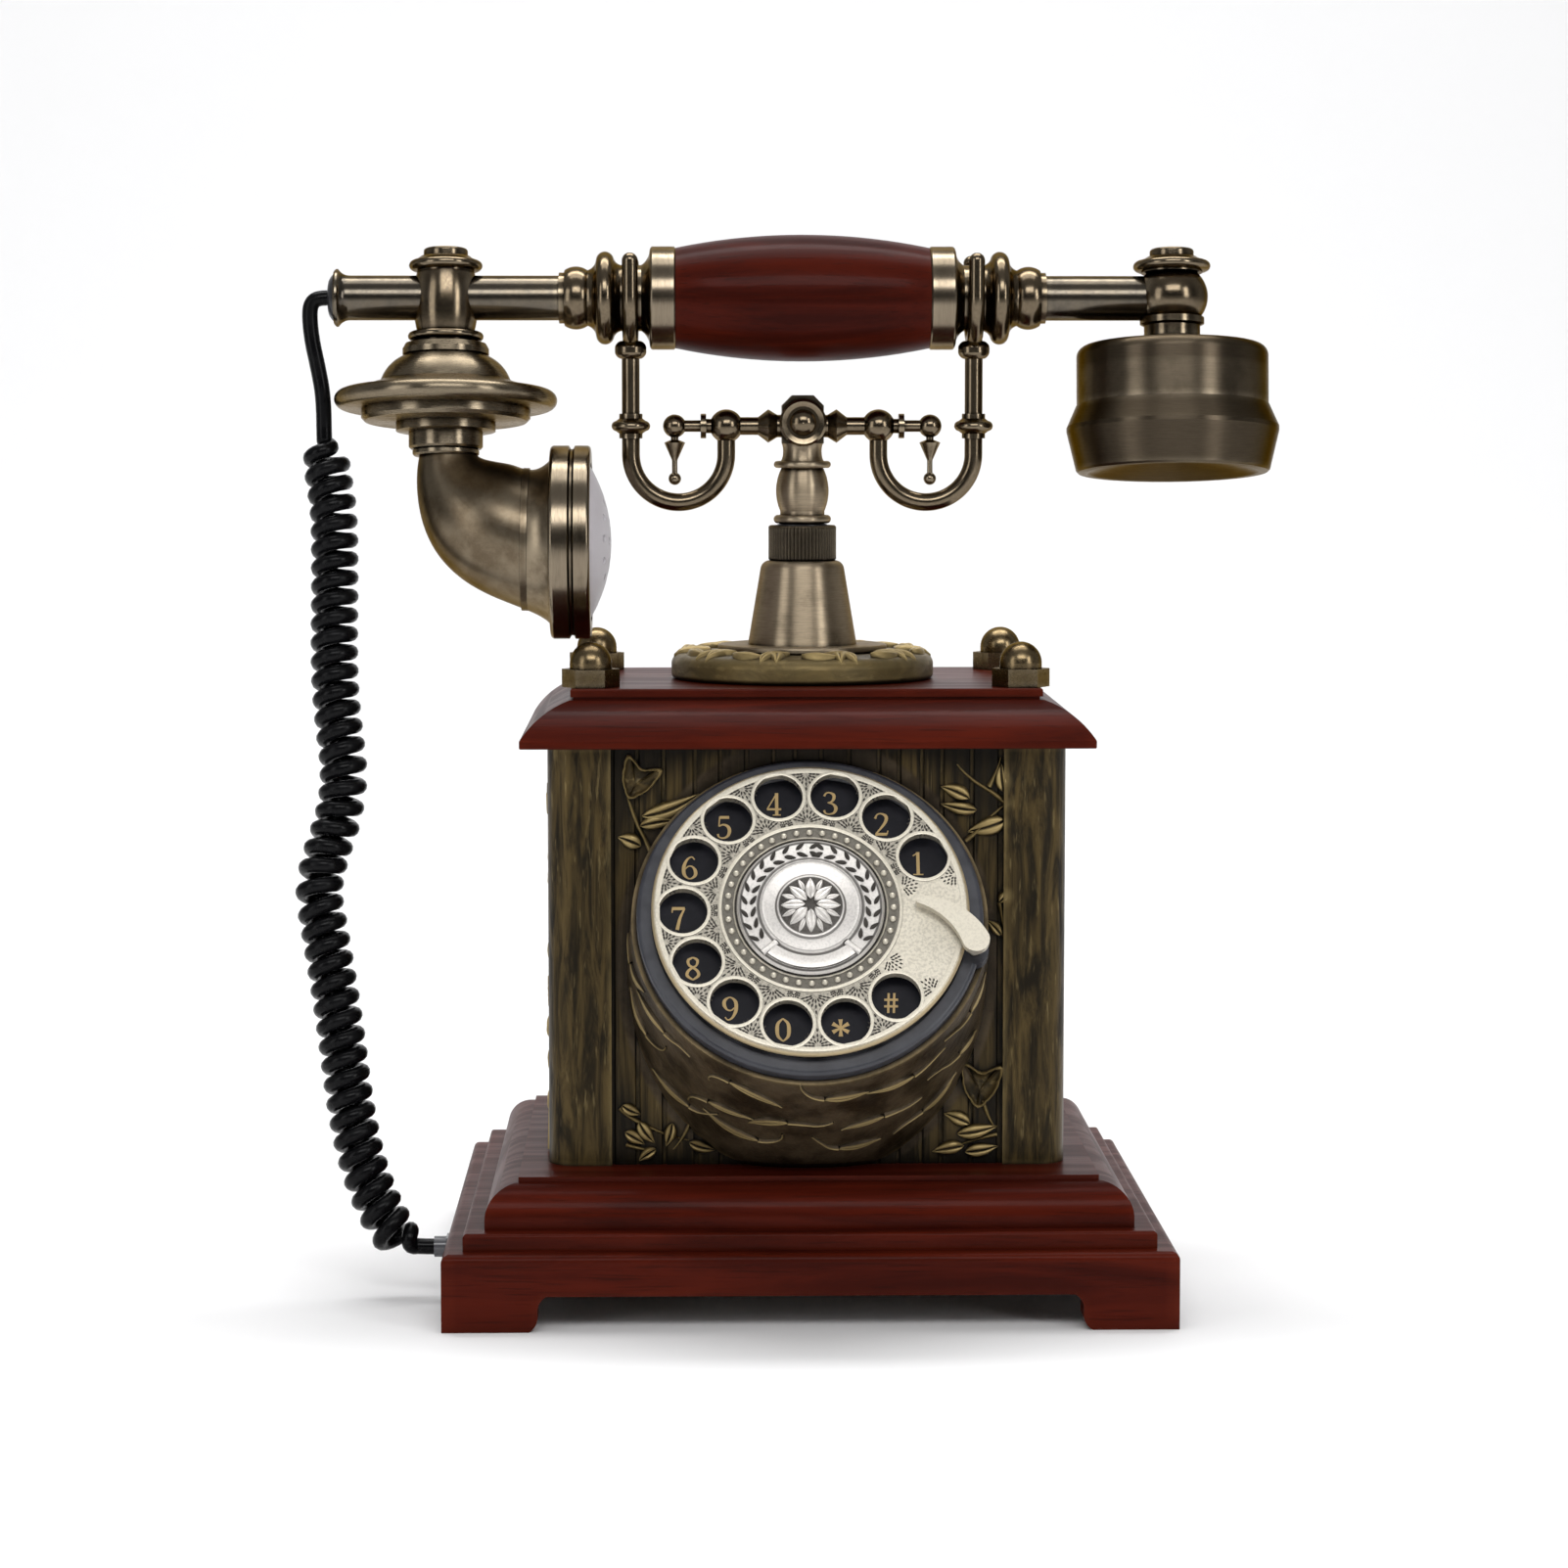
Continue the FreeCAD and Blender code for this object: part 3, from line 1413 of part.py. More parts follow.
badge = [
    (0, wheel_top),
    (br - 0.4, wheel_top),
    (br, wheel_top + 0.4),
    (br - 0.6, wheel_top + bh - 0.2),
    (14.5, wheel_top + bh - 0.5),
    (13.9, wheel_top + bh),
    (12.9, wheel_top + bh),
    (9.8, wheel_top + bh - 0.6),
    (9.2, wheel_top + bh - 0.1),
    (0, wheel_top + bh + 1.0, "ball"),
]
keep(on_dial(turned("dial_badge", badge)))
gear_low = -12
keep(on_dial(turned("dial_shaft", rectangle(0, S.shaft_radius, -15, wheel_top))))


def gear_face(teeth, phase, thin):
    """A spur gear's outline, each flank one arc through three points of its involute."""
    module = S.gear_module.value
    pitch = module * teeth / 2
    base = pitch * math.cos(math.radians(20))
    tip = pitch + 0.8 * module
    root = pitch - 1.0 * module
    low = max(base, root + 0.05)

    def half_angle(radius):
        """Half the angle that a tooth fills at a radius, less the backlash."""
        roll = math.acos(min(1.0, base / radius))
        gap = math.tan(roll) - roll
        at_pitch = math.tan(math.radians(20)) - math.radians(20)
        return math.pi / (2 * teeth) - thin / (2 * pitch) + at_pitch - gap

    def spot(radius, angle):
        return Vector(radius * math.cos(angle), radius * math.sin(angle), 0)

    edges = []
    for tooth in range(int(teeth)):
        centre = phase + 2 * math.pi * tooth / teeth
        following = centre + 2 * math.pi / teeth
        middle = (low + tip) / 2
        foot = half_angle(low)
        waist = half_angle(middle)
        point = half_angle(tip)
        edges.append(Part.LineSegment(spot(root, centre - foot), spot(low, centre - foot)))
        edges.append(
            Part.Arc(spot(low, centre - foot), spot(middle, centre - waist), spot(tip, centre - point))
        )
        edges.append(Part.Arc(spot(tip, centre - point), spot(tip, centre), spot(tip, centre + point)))
        edges.append(
            Part.Arc(spot(tip, centre + point), spot(middle, centre + waist), spot(low, centre + foot))
        )
        edges.append(Part.LineSegment(spot(low, centre + foot), spot(root, centre + foot)))
        gap_end = following - foot
        gap_middle = (centre + foot + gap_end) / 2
        edges.append(Part.Arc(spot(root, centre + foot), spot(root, gap_middle), spot(root, gap_end)))
    return Part.Face(Part.Wire([edge.toShape() for edge in edges]))


def raised(face, low, high):
    face = face.copy()
    face.translate(Vector(0, 0, low))
    return face.extrude(Vector(0, 0, high - low))


big = S.gear_teeth.value
small = S.pinion_teeth.value
thin = S.gear_backlash.value
shaft = S.shaft_radius.value
wide = S.gear_width.value
# A tooth of the wheel points straight up the slope, at a gap of the pinion.
gear = raised(gear_face(big, math.pi / 2, thin), gear_low, gear_low + wide)
gear = gear.cut(Part.makeCylinder(shaft, 60, Vector(0, 0, -40)))
keep(on_dial(plain("drive_gear", gear)))
pinion_phase = -math.pi / 2 + math.pi / small
pinion = raised(gear_face(small, pinion_phase, thin), gear_low - 0.2, gear_low + wide + 0.2)
spindle = Part.makeCylinder(1.5, gear_low * -1 - 0.7 + 6, Vector(0, 0, gear_low - 6))
flywheel = Part.makeCylinder(9.0, 3.6, Vector(0, 0, gear_low - 5))
governor = pinion.fuse([spindle, flywheel]).removeSplitter()
keep(on_dial(plain("governor", governor), gear_reach))

# Finger stop: a curved horn on a post in the rim, which is also the redial key.
stop = new_body("finger_stop")
stop_low = wheel_top + S.stop_gap
horn_plan = [
    (stop_x - 3.6, stop_y - 1.2, -52),
    (stop_x + 3.6, stop_y + 1.2, 180),
    (30.2, 1.8, 62),
    (29.4, -0.4, 150),
]
pad(stop, "XY_Plane", S.stop_height, [horn_plan], offset=stop_low)
post_low = S.stop_stroke + 0.5
pad(stop, "XY_Plane", stop_low - post_low + 1, circles=[(stop_x, stop_y, S.stop_post)], offset=post_low)
keep(on_dial(stop))

# Inside the casing: circuit board on standoffs, ringer, and the slotted hook switch below the lid.
board_low = plinth_top + 7
board_y = casing_y + 8
keep(
    box("circuit_board", (-52, board_y - 32, board_low), (52, board_y + 32, board_low + 1.6))
)
standoffs = []
for number, (side_x, side_y) in enumerate(((1, 1), (-1, 1), (-1, -1), (1, -1)), start=1):
    standoff = doc.addObject("Part::Cylinder", "standoff_%d" % number)
    bind(standoff, "Radius", 3)
    bind(standoff, "Height", board_low - plinth_top)
    standoffs.append(place(standoff, 46 * side_x, board_y + 26 * side_y, plinth_top))
keep(group("board_standoffs", standoffs))
ringer = turned("ringer", [(0, 0), (15, 0), (15, 9), (12, 11), (0, 11)])
keep(place(ringer, 26, board_y, board_low + 1.6))
switch_block = box(
    "switch_block", (-12, casing_y - 8, casing_top - 16), (12, casing_y + 8, casing_top)
)
switch_bore = doc.addObject("Part::Cylinder", "switch_bore")
bind(switch_bore, "Radius", S.plunger_radius + 0.8)
bind(switch_bore, "Height", 40)
place(switch_bore, 0, casing_y, casing_top - 30)
keep(cut("hook_switch", switch_block, switch_bore))


def arc_edges(spots, ways):
    """Two arcs between each pair of neighbouring points, tangent to the directions given there."""
    edges = []

    def add(start, along, end):
        chord = end - start
        middle = (start + end) * 0.5
        straight = along.dot(chord) / chord.Length
        if straight > 1 - 1e-9:
            edges.append(Part.LineSegment(start, end).toShape())
            return
        half = math.acos(max(-1.0, min(1.0, straight)))
        outward = along - chord * (along.dot(chord) / chord.Length**2)
        middle = middle + outward.normalize() * (chord.Length / 2 * math.tan(half / 2))
        edges.append(Part.Arc(start, middle, end).toShape())

    for start, end, first, last in zip(spots, spots[1:], ways, ways[1:]):
        chord = end - start
        total = first + last
        spread = 2 * (1 - first.dot(last))
        pull = chord.dot(total)
        if spread < 1e-9:
            reach = chord.dot(chord) / (4 * chord.dot(last))
        else:
            reach = (math.sqrt(pull * pull + spread * chord.dot(chord)) - pull) / spread
        joint = (start + end + (first - last) * reach) * 0.5
        add(start, first, joint)
        add(joint, (joint - start - first * reach).normalize(), end)
    return edges


def tube_along(edges, radius, start, along):
    """A round tube along a chain of edges."""
    circle = Part.Wire(Part.Circle(start, along, radius).toShape())
    return Part.Wire(edges).makePipeShell([circle], True, False)


def winding(centre, length, radius, pitch, straight, ramp):
    """A helix round a centre line; it starts and ends on that line with a short straight run.

    Where the line bends, the turns stand further apart, so that they stay clear inside the bend.
    """
    count = 2000
    span = length / count
    turns = [0.0]
    for number in range(count):
        before = centre(max(0.0, (number - 8) * span))[1]
        after = centre(min(length, (number + 8) * span))[1]
        bend = before.getAngle(after) / (16 * span)
        turns.append(turns[-1] + 2 * math.pi * span / max(pitch[0], pitch[1] / (1 - radius * bend)))

    def angle_at(distance):
        place_along = max(0.0, min(count - 1e-6, distance / span))
        number = int(place_along)
        return turns[number] + (turns[number + 1] - turns[number]) * (place_along - number)

    def frame_at(distance):
        spot, along = centre(distance)
        side = Vector(0, 1, 0) - along * along.y
        side.normalize()
        return spot, along, side, along.cross(side)

    def point(distance):
        spot, along, side, other = frame_at(distance)
        inner = min(distance, length - distance) - straight
        share = max(0.0, min(1.0, inner / ramp))
        out = radius * share * share * (3 - 2 * share)
        angle = angle_at(distance)
        return spot + side * (out * math.cos(angle)) + other * (out * math.sin(angle))

    marks = [0.0, straight]
    distance = straight
    while distance < length - straight - 1e-6:
        near_end = min(distance, length - distance) < straight + ramp + pitch[0]
        left = length - straight - distance
        step = pitch[0] / (8 if near_end else 3)
        distance += left / max(1, round(left / step)) if left < 3 * step else step
        marks.append(distance)
    marks.append(length)
    spots = [point(mark) for mark in marks]
    ways = []
    for mark in marks:
        low = max(0.0, mark - 0.01)
        high = min(length, mark + 0.01)
        ways.append((point(high) - point(low)).normalize())
    return point, spots, ways


# Return spring round the plunger, between the cone's floor and the plunger's collar.
spring_low = flange_top.value + S.disc_height.value + 1 + S.spring_wire.value / 2 + 0.1
spring_high = (column_base + collar_high - 2).value - S.spring_wire.value / 2 - 0.1
spring_turns = 6
spots = []
ways = []
for step in range(spring_turns * 2 + 1):
    angle = math.pi * step
    rise = (spring_high - spring_low) / (spring_turns * 2)
    radius = S.spring_radius.value
    spots.append(Vector(radius * math.cos(angle), radius * math.sin(angle), rise * step))
    ways.append(Vector(0, radius * math.cos(angle), rise / math.pi).normalize())
spring = tube_along(arc_edges(spots, ways), S.spring_wire.value / 2, spots[0], ways[0])
return_spring = plain("return_spring", spring)
keep(return_spring)
place(return_spring, 0, casing_y, spring_low)

# Sockets in the skirt and the plug of the handset's cord.
plug_out = -half_width - 1
plug_in = plug_out + S.plug_length
jack_front = -half_width + S.skirt_wall
jack_block = box(
    "jack_block", (jack_front, S.jack_y - 7, S.jack_z - 5.2), (jack_back, S.jack_y + 7, S.skirt_height)
)
jack_cavity = box(
    "jack_cavity",
    (jack_front - 1, S.jack_y - S.plug_width / 2 - 0.3, S.jack_z - S.plug_height / 2 - 0.2),
    (plug_in + 0.6, S.jack_y + S.plug_width / 2 + 0.3, S.jack_z + S.plug_height / 2 + 0.2),
)
keep(cut("handset_jack", jack_block, jack_cavity))
line_front = S.plinth_y + half_depth - S.skirt_wall
line_block = box(
    "line_block", (S.line_x - 7, line_back, S.jack_z - 5.2), (S.line_x + 7, line_front, S.skirt_height)
)
line_face = S.plinth_y + half_depth - 0.8
line_snout = box(
    "line_snout",
    (S.line_x - 7, line_front - 1, S.foot_arch),
    (S.line_x + 7, line_face, S.jack_z + 3.8),
)
line_cavity = box(
    "line_cavity",
    (S.line_x - 4.7, line_back + 2, S.jack_z - 3.0),
    (S.line_x + 4.7, line_face + 1, S.jack_z + 3.0),
)
keep(cut("line_jack", join("line_body", [line_block, line_snout]), line_cavity))
plug_block = box(
    "plug_block",
    (plug_out, S.jack_y - S.plug_width / 2, S.jack_z - S.plug_height / 2),
    (plug_in, S.jack_y + S.plug_width / 2, S.jack_z + S.plug_height / 2),
)
plug_tail = doc.addObject("Part::Cylinder", "plug_tail")
bind(plug_tail, "Radius", S.cord_diameter / 2 + 0.7)
bind(plug_tail, "Height", 4)
place(plug_tail, plug_out - 3.5, S.jack_y, S.jack_z, 90, (0, 1, 0))
keep(join("cord_plug", [plug_block, plug_tail]))

# Cord: a free lead from the grommet, then a coil that hangs to the plug.
wire = S.cord_diameter.value / 2
exit_spot = Vector(-grommet_end.value, casing_y.value, handset_z.value)
coil_top = exit_spot + Vector(-1.6, 0, -36)
coil_end = Vector((plug_out - 3.5).value, S.jack_y.value, S.jack_z.value)
lead_spots = [
    exit_spot,
    exit_spot + Vector(-3.0, 0, 0),
    exit_spot + Vector(-5.0, 0, -1.6),
    exit_spot + Vector(-5.5, 0, -5.0),
    exit_spot + Vector(-4.9, 0, -12.0),
    exit_spot + Vector(-3.2, 0, -20.0),
    coil_top + Vector(0, 0, 7),
    coil_top,
]
lead_edges = []
last = lead_spots[0]
for before, corner, after in zip(lead_spots, lead_spots[1:], lead_spots[2:]):
    run = min((corner - before).Length, (after - corner).Length) * 0.45
    back = (before - corner).normalize()
    ahead = (after - corner).normalize()
    half_turn = (math.pi - back.getAngle(ahead)) / 2
    print("lead radius %.1f mm, turn %.0f degrees" % (run / math.tan(half_turn), math.degrees(half_turn) * 2))
    start = corner + back * run
    end = corner + ahead * run
    inward = (back + ahead).normalize()
    middle = (start + end) * 0.5
    sagitta = (end - start).Length / 2 * math.tan(half_turn / 2)
    middle = middle - inward * sagitta
    lead_edges.append(Part.LineSegment(last, start).toShape())
    lead_edges.append(Part.Arc(start, middle, end).toShape())
    last = end
lead_edges.append(Part.LineSegment(last, lead_spots[-1]).toShape())
lead = tube_along(lead_edges, wire, exit_spot, Vector(-1, 0, 0))
lead_length = sum(edge.Length for edge in lead_edges)
print("lead volume %.1f, section times length %.1f" % (lead.Volume, math.pi * wire**2 * lead_length))
keep(plain("cord_lead", lead))

# The coil's centre line: shares of the way down, with offsets sideways and towards the viewer.
COIL_LINE = (
    (0.0, 0.0, 0.0),
    (0.030, 0.0, 0.0),
    (0.070, 1.4, 0.0),
    (0.110, 3.1, 0.2),
    (0.179, 3.6, 0.6),
    (0.304, 3.6, 0.7),
    (0.367, 4.9, 0.8),
    (0.433, 7.2, 0.9),
    (0.487, 5.4, 0.9),
    (0.529, 1.8, 1.0),
    (0.574, -0.4, 1.0),
    (0.616, 1.6, 1.1),
    (0.726, 6.2, 1.0),
    (0.835, 9.6, 0.0),
    (0.899, 13.0, 0.0),
    (0.944, 17.0, 0.0),
    (0.979, 21.4, 0.0),
    (0.997, 25.6, 0.0),
    (1.0, 29.4, 0.0),
    (1.0, 34.0, 0.0),
)
COIL_ACROSS = COIL_LINE[-1][1]
first_share = COIL_LINE[1][0]
poles = []
for share, across, ahead in COIL_LINE:
    lean = max(0.0, share - first_share) / (1 - first_share)
    slack = Vector(across + (coil_end.x - coil_top.x - COIL_ACROSS) * lean, 0, 0)
    depth = Vector(0, (coil_end.y - coil_top.y) * lean, 0)
    poles.append(coil_top + slack + depth + Vector(0, -ahead, (coil_end.z - coil_top.z) * share))
route = Part.BSplineCurve()
spans = len(poles) - 2
route.buildFromPolesMultsKnots(
    poles, [3] + [1] * (spans - 1) + [3], [float(n) for n in range(spans + 1)], False, 2
)
samples = 400
lengths = [0.0]
marks = [spans * n / samples for n in range(samples + 1)]
for one, two in zip(marks, marks[1:]):
    lengths.append(lengths[-1] + (route.value(two) - route.value(one)).Length)
coil_length = lengths[-1]


def coil_line(distance):
    """The point and the direction of the coil's centre line at a distance along it."""
    number = 0
    while number < samples - 1 and lengths[number + 1] < distance:
        number += 1
    share = (distance - lengths[number]) / (lengths[number + 1] - lengths[number])
    mark = min(float(spans), max(0.0, marks[number] + share * (marks[1] - marks[0])))
    return route.value(mark), Vector(*route.tangent(mark)[0])


straight = S.cord_diameter.value
pitches = (S.coil_pitch.value, S.cord_diameter.value + 0.7)
coil_point, spots, ways = winding(
    coil_line, coil_length, S.coil_radius.value, pitches, straight, 6.5
)
coil = tube_along(arc_edges(spots, ways), wire, spots[0], ways[0])
keep(plain("cord_coil", coil))
fine = [coil_point(coil_length * n / 6000) for n in range(6001)]
run = [0.0]
for one, two in zip(fine, fine[1:]):
    run.append(run[-1] + (two - one).Length)
least = 1e9
for number in range(0, 6001, 4):
    for other in range(number, min(6001, number + 400), 2):
        if run[other] - run[number] > 6 * wire:
            least = min(least, (fine[number] - fine[other]).Length)
print("coil wire %.0f mm, least gap between turns %.2f mm" % (run[-1], least - 2 * wire))

doc.recompute()
faults = []
for item in doc.Objects:
    if "Invalid" in item.State or "Error" in item.State:
        faults.append(item.Label)
for piece in NODES:
    if piece.Shape.isNull() or not piece.Shape.isValid() or piece.Shape.Volume <= 0:
        faults.append(piece.Label)
if faults:
    raise RuntimeError("these objects failed: " + ", ".join(faults))
os.makedirs("parts", exist_ok=True)
for piece in NODES:
    piece.Shape.exportStep("parts/%s.step" % piece.Label)
print("%d pieces written" % len(NODES))
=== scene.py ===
"""Looks of the cradle telephone: finishes, relief ornament, dial figures and the curly cord.

Lengths are millimetres in the telephone's own frame, and become metres when a mesh is made.
"""

import json
import math
import random

import bmesh
import bpy
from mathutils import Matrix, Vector


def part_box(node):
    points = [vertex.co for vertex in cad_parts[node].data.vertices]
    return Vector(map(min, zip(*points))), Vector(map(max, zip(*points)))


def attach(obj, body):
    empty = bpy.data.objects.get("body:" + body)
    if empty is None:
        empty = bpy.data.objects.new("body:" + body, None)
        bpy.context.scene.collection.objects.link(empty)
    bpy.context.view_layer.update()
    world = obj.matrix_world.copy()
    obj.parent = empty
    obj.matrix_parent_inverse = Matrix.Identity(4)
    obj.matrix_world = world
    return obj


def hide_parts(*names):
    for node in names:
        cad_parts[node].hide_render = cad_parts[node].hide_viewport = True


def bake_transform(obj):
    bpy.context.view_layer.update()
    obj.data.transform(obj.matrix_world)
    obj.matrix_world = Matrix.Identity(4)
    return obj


bl_info = {
    "name": "Cradle telephone looks",
    "version": (1, 0, 0),
    "blender": (4, 5, 0),
    "location": "View3D > Sidebar > Telephone",
    "description": "Finishes, ornament, dial figures and cord of a cradle telephone",
    "category": "Object",
}

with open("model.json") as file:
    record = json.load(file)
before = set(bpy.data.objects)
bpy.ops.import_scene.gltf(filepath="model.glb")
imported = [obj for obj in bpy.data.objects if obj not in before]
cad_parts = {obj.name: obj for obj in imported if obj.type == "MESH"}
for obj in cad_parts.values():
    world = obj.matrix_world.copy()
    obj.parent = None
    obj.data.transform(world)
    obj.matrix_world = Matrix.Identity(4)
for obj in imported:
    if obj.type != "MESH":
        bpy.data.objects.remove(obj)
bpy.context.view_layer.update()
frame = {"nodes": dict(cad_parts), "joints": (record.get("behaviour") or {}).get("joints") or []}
MM = 0.001


def corners(node):
    """Lowest and highest corner of a node, in millimetres."""
    low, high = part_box(node)
    return low / MM, high / MM


def joint_named(name):
    return next(joint for joint in frame["joints"] if joint["name"] == name)


# Places that come from the frame.
CASING_LOW, CASING_HIGH = corners("casing")
LID_LOW, LID_HIGH = corners("lid")
FLANGE_TOP = corners("pedestal_flange")[1].z
COLLAR_TOP = corners("knurled_collar")[1].z
COLUMN_BASE = corners("cradle_column")[0].z
CASING_MIDDLE_Y = (LID_LOW.y + LID_HIGH.y) / 2
CASING_HALF_WIDTH = CASING_HIGH.x
CASING_HALF_DEPTH = CASING_HIGH.y - CASING_MIDDLE_Y
DIAL_SPOT = Vector(joint_named("dial_turn")["pos_m"]) / MM
DIAL_AXIS = Vector(joint_named("dial_turn")["axis"]).normalized()
DIAL_RIGHT = Vector((1, 0, 0))
DIAL_UP = DIAL_AXIS.cross(DIAL_RIGHT)

# Sizes of the construction that the ornament sits on.
STILE_WIDTH = 18.0
PANEL_RECESS = 2.5
DRUM_FRONT_RADIUS = 49.5
DRUM_BACK_RADIUS = 52.5
DRUM_LENGTH = 58.0

# Masks by the way from the dial's axis and out from its face: the drum, and the front panel's corners,
# where shade is painted.
DRUM_EDGE = (53.5, 55.0)
DRUM_BACK = (-75.0, -70.0)
DRUM_SHARE = 0.85
PANEL_SHADED_CORNERS = (55.0, 64.0)

# Levels on the dial's axis, and the circle of its finger holes with its angles in degrees.
PLATE_TOP = 2.0
WHEEL_TOP = 7.8
BADGE_TOP = 9.2
FINGER_CIRCLE = 35.2
FINGER_HOLE = 6.8
FINGER_FIRST = 26.4
FINGER_STEP = 25.85
FIGURES = "1234567890*#"

# Rings of the finger wheel by radius, and the middle and half widths of its plain part in degrees.
HUB_EDGE = 20.8
BEAD_RING = (21.2, 24.6)
ENGRAVED_RING = (25.2, 42.0)
GILT_EDGE = (42.5, 43.8)
PLAIN_MIDDLE = -14.0
PLAIN_HALF = (26.0, 38.0)

# Dark lines round the badge: radius, half width and how dark.
BADGE_LINES = ((19.4, 0.5, 0.9), (14.6, 0.5, 0.8), (13.6, 0.3, 0.5), (9.6, 0.4, 0.7))
BADGE_GROUND = (8.6, 9.1)

# How far raised ornament reaches into the surface below it.
ROOT = -0.3
# Angles in degrees above which edges are drawn sharp.
ORNAMENT_SHARP = 60.0
PLANK_SHARP = 25.0
FIGURE_SHARP = 30.0
CORD_SHARP = 80.0
SIDES = (("left", -1), ("right", 1))


def length_setting(name, description, millimetres):
    """A length that a user can set, which Blender keeps in metres."""
    return bpy.props.FloatProperty(
        name=name, description=description, default=millimetres * MM, min=0.0, precision=4, unit="LENGTH"
    )


def colour_setting(name, description, default):
    """A colour that a user can set, as linear values."""
    return bpy.props.FloatVectorProperty(
        name=name, description=description, subtype="COLOR", size=3, min=0.0, max=1.0, default=default
    )


class TelephoneSizes(bpy.types.PropertyGroup):
    """Sizes of the ornament and the cord."""

    numeral_height: length_setting("Numeral height", "Height of the dial's figures", 7.0)
    relief_height: length_setting("Relief height", "How far leaves stand off the casing", 1.5)
    plank_width: length_setting("Plank width", "Width of one plank of the casing's panels", 7.4)
    cord_diameter: length_setting("Cord diameter", "Thickness of the curly cord", 4.6)
    coil_radius: length_setting("Coil radius", "From the coil's middle to the cord's middle", 4.7)
    coil_pitch: length_setting("Coil pitch", "Rise of one turn of the coil", 5.5)
    bead_count: bpy.props.IntProperty(
        name="Beads", description="Beads in the ring round the dial's badge", default=40, min=3
    )


class TelephoneColours(bpy.types.PropertyGroup):
    """Colours of the finishes, as linear values."""

    wood_light: colour_setting("Light wood", "Light streaks of the mahogany", (0.075, 0.0085, 0.0033))
    wood_dark: colour_setting("Dark wood", "Dark streaks of the mahogany", (0.036, 0.0042, 0.0020))
    wood_pores: colour_setting("Wood pores", "Pores of the mahogany", (0.018, 0.004, 0.002))
    wood_worn: colour_setting("Worn wood", "Rubbed edges of the mahogany", (0.13, 0.020, 0.008))
    # Colour of the wood's corners, which the occlusion mask darkens.
    wood_corner_dark: colour_setting("Wood dirt", "Dirt in the mahogany's corners", (0.016, 0.003, 0.002))
    bronze_dark: colour_setting("Dark bronze", "Ground of the casing", (0.012, 0.0085, 0.0035))
    bronze_mid: colour_setting("Bronze", "Streaks of the casing", (0.086, 0.058, 0.020))
    # Rubbed gold, which on the relief's tops is also a painted highlight.
    bronze_gold_and_highlight: colour_setting("Rubbed gold", "Gold on the casing's high places", (0.470, 0.350, 0.150))
    # Painted shade: the front panel's corners are darkened with this colour.
    bronze_shade: colour_setting("Shaded bronze", "Corners of the front panel", (0.005, 0.0035, 0.0015))
    # Dark in the casing's hollows, and painted shade on its planks near the leaves, stiles and drum.
    bronze_dirt_and_shade: colour_setting("Bronze dirt", "Dirt in the casing's corners", (0.004, 0.003, 0.002))
    drum_dark: colour_setting("Dark drum", "Dark places of the dial's drum", (0.024, 0.016, 0.009))
    drum_light: colour_setting("Light drum", "Light places of the dial's drum", (0.112, 0.081, 0.048))
    brass: colour_setting("Antique brass", "Turned brass", (0.250, 0.204, 0.147))
    brass_dark: colour_setting("Dark brass", "Brass in grooves and corners", (0.018, 0.014, 0.010))
    brass_blotch: colour_setting("Brass blotches", "Tarnished places of the brass", (0.072, 0.056, 0.037))
    brass_rubbed: colour_setting("Rubbed brass", "Bright edges of the brass", (0.42, 0.35, 0.25))
    brass_glance: colour_setting("Brass glance", "Brass seen at a low angle", (0.45, 0.38, 0.29))
    silver: colour_setting("Antique silver", "Finger wheel and badge", (0.620, 0.577, 0.480))
    badge: colour_setting("Badge silver", "Plain silver of the badge", (0.680, 0.652, 0.620))
    silver_dark: colour_setting("Dark silver", "Patina of the finger wheel", (0.035, 0.031, 0.027))
    silver_speck: colour_setting("Silver specks", "Dark specks of the silver", (0.33, 0.30, 0.25))
    wheel_speck: colour_setting("Wheel specks", "Dark specks of the finger wheel", (0.20, 0.18, 0.15))
    wheel_edge: colour_setting("Wheel edge", "Gilt edge of the finger wheel", (0.42, 0.33, 0.19))
    badge_speck: colour_setting("Badge specks", "Dark specks of the badge", (0.30, 0.29, 0.28))
    rim: colour_setting("Rim", "Plastic rim of the dial", (0.026, 0.027, 0.034))
    plate: colour_setting("Plate", "Plate behind the finger wheel", (0.010, 0.010, 0.014))
    figure: colour_setting("Figures", "Figures on the plate", (0.480, 0.330, 0.130))
    cord: colour_setting("Cord", "Curly cord", (0.0025, 0.0025, 0.0030))
    pale: colour_setting("Pale plastic", "Face of the mouthpiece", (0.560, 0.530, 0.560))
    black: colour_setting("Black plastic", "Sockets and capsules", (0.014, 0.014, 0.016))
    plug: colour_setting("Plug plastic", "Plug of the curly cord", (0.10, 0.10, 0.11))


class TelephoneStage(bpy.types.PropertyGroup):
    """Camera, lamps and floor."""

    lens: bpy.props.FloatProperty(
        name="Lens", description="Focal length in millimetres", default=93.6, min=1.0, unit="CAMERA"
    )
    room: bpy.props.FloatProperty(
        name="Room light", description="Strength of the room's light", default=0.30, min=0.0
    )
    floor: colour_setting("Floor", "Floor and backdrop", (0.88, 0.88, 0.885))


def size(key):
    """One of the lengths that a user can set, in millimetres."""
    return getattr(bpy.context.scene.telephone_sizes, key) / MM


def colours():
    return bpy.context.scene.telephone_colours


def tinted(shade, tone):
    """A colour times a tone, which is one number or one for each channel."""
    tones = tone if isinstance(tone, tuple) else (tone, tone, tone)
    return [part * channel for part, channel in zip(tones, shade)]


def polar(radius, turn, centre=(0.0, 0.0)):
    """A place at a distance and an angle in degrees from a centre."""
    angle = math.radians(turn)
    return centre[0] + radius * math.cos(angle), centre[1] + radius * math.sin(angle)


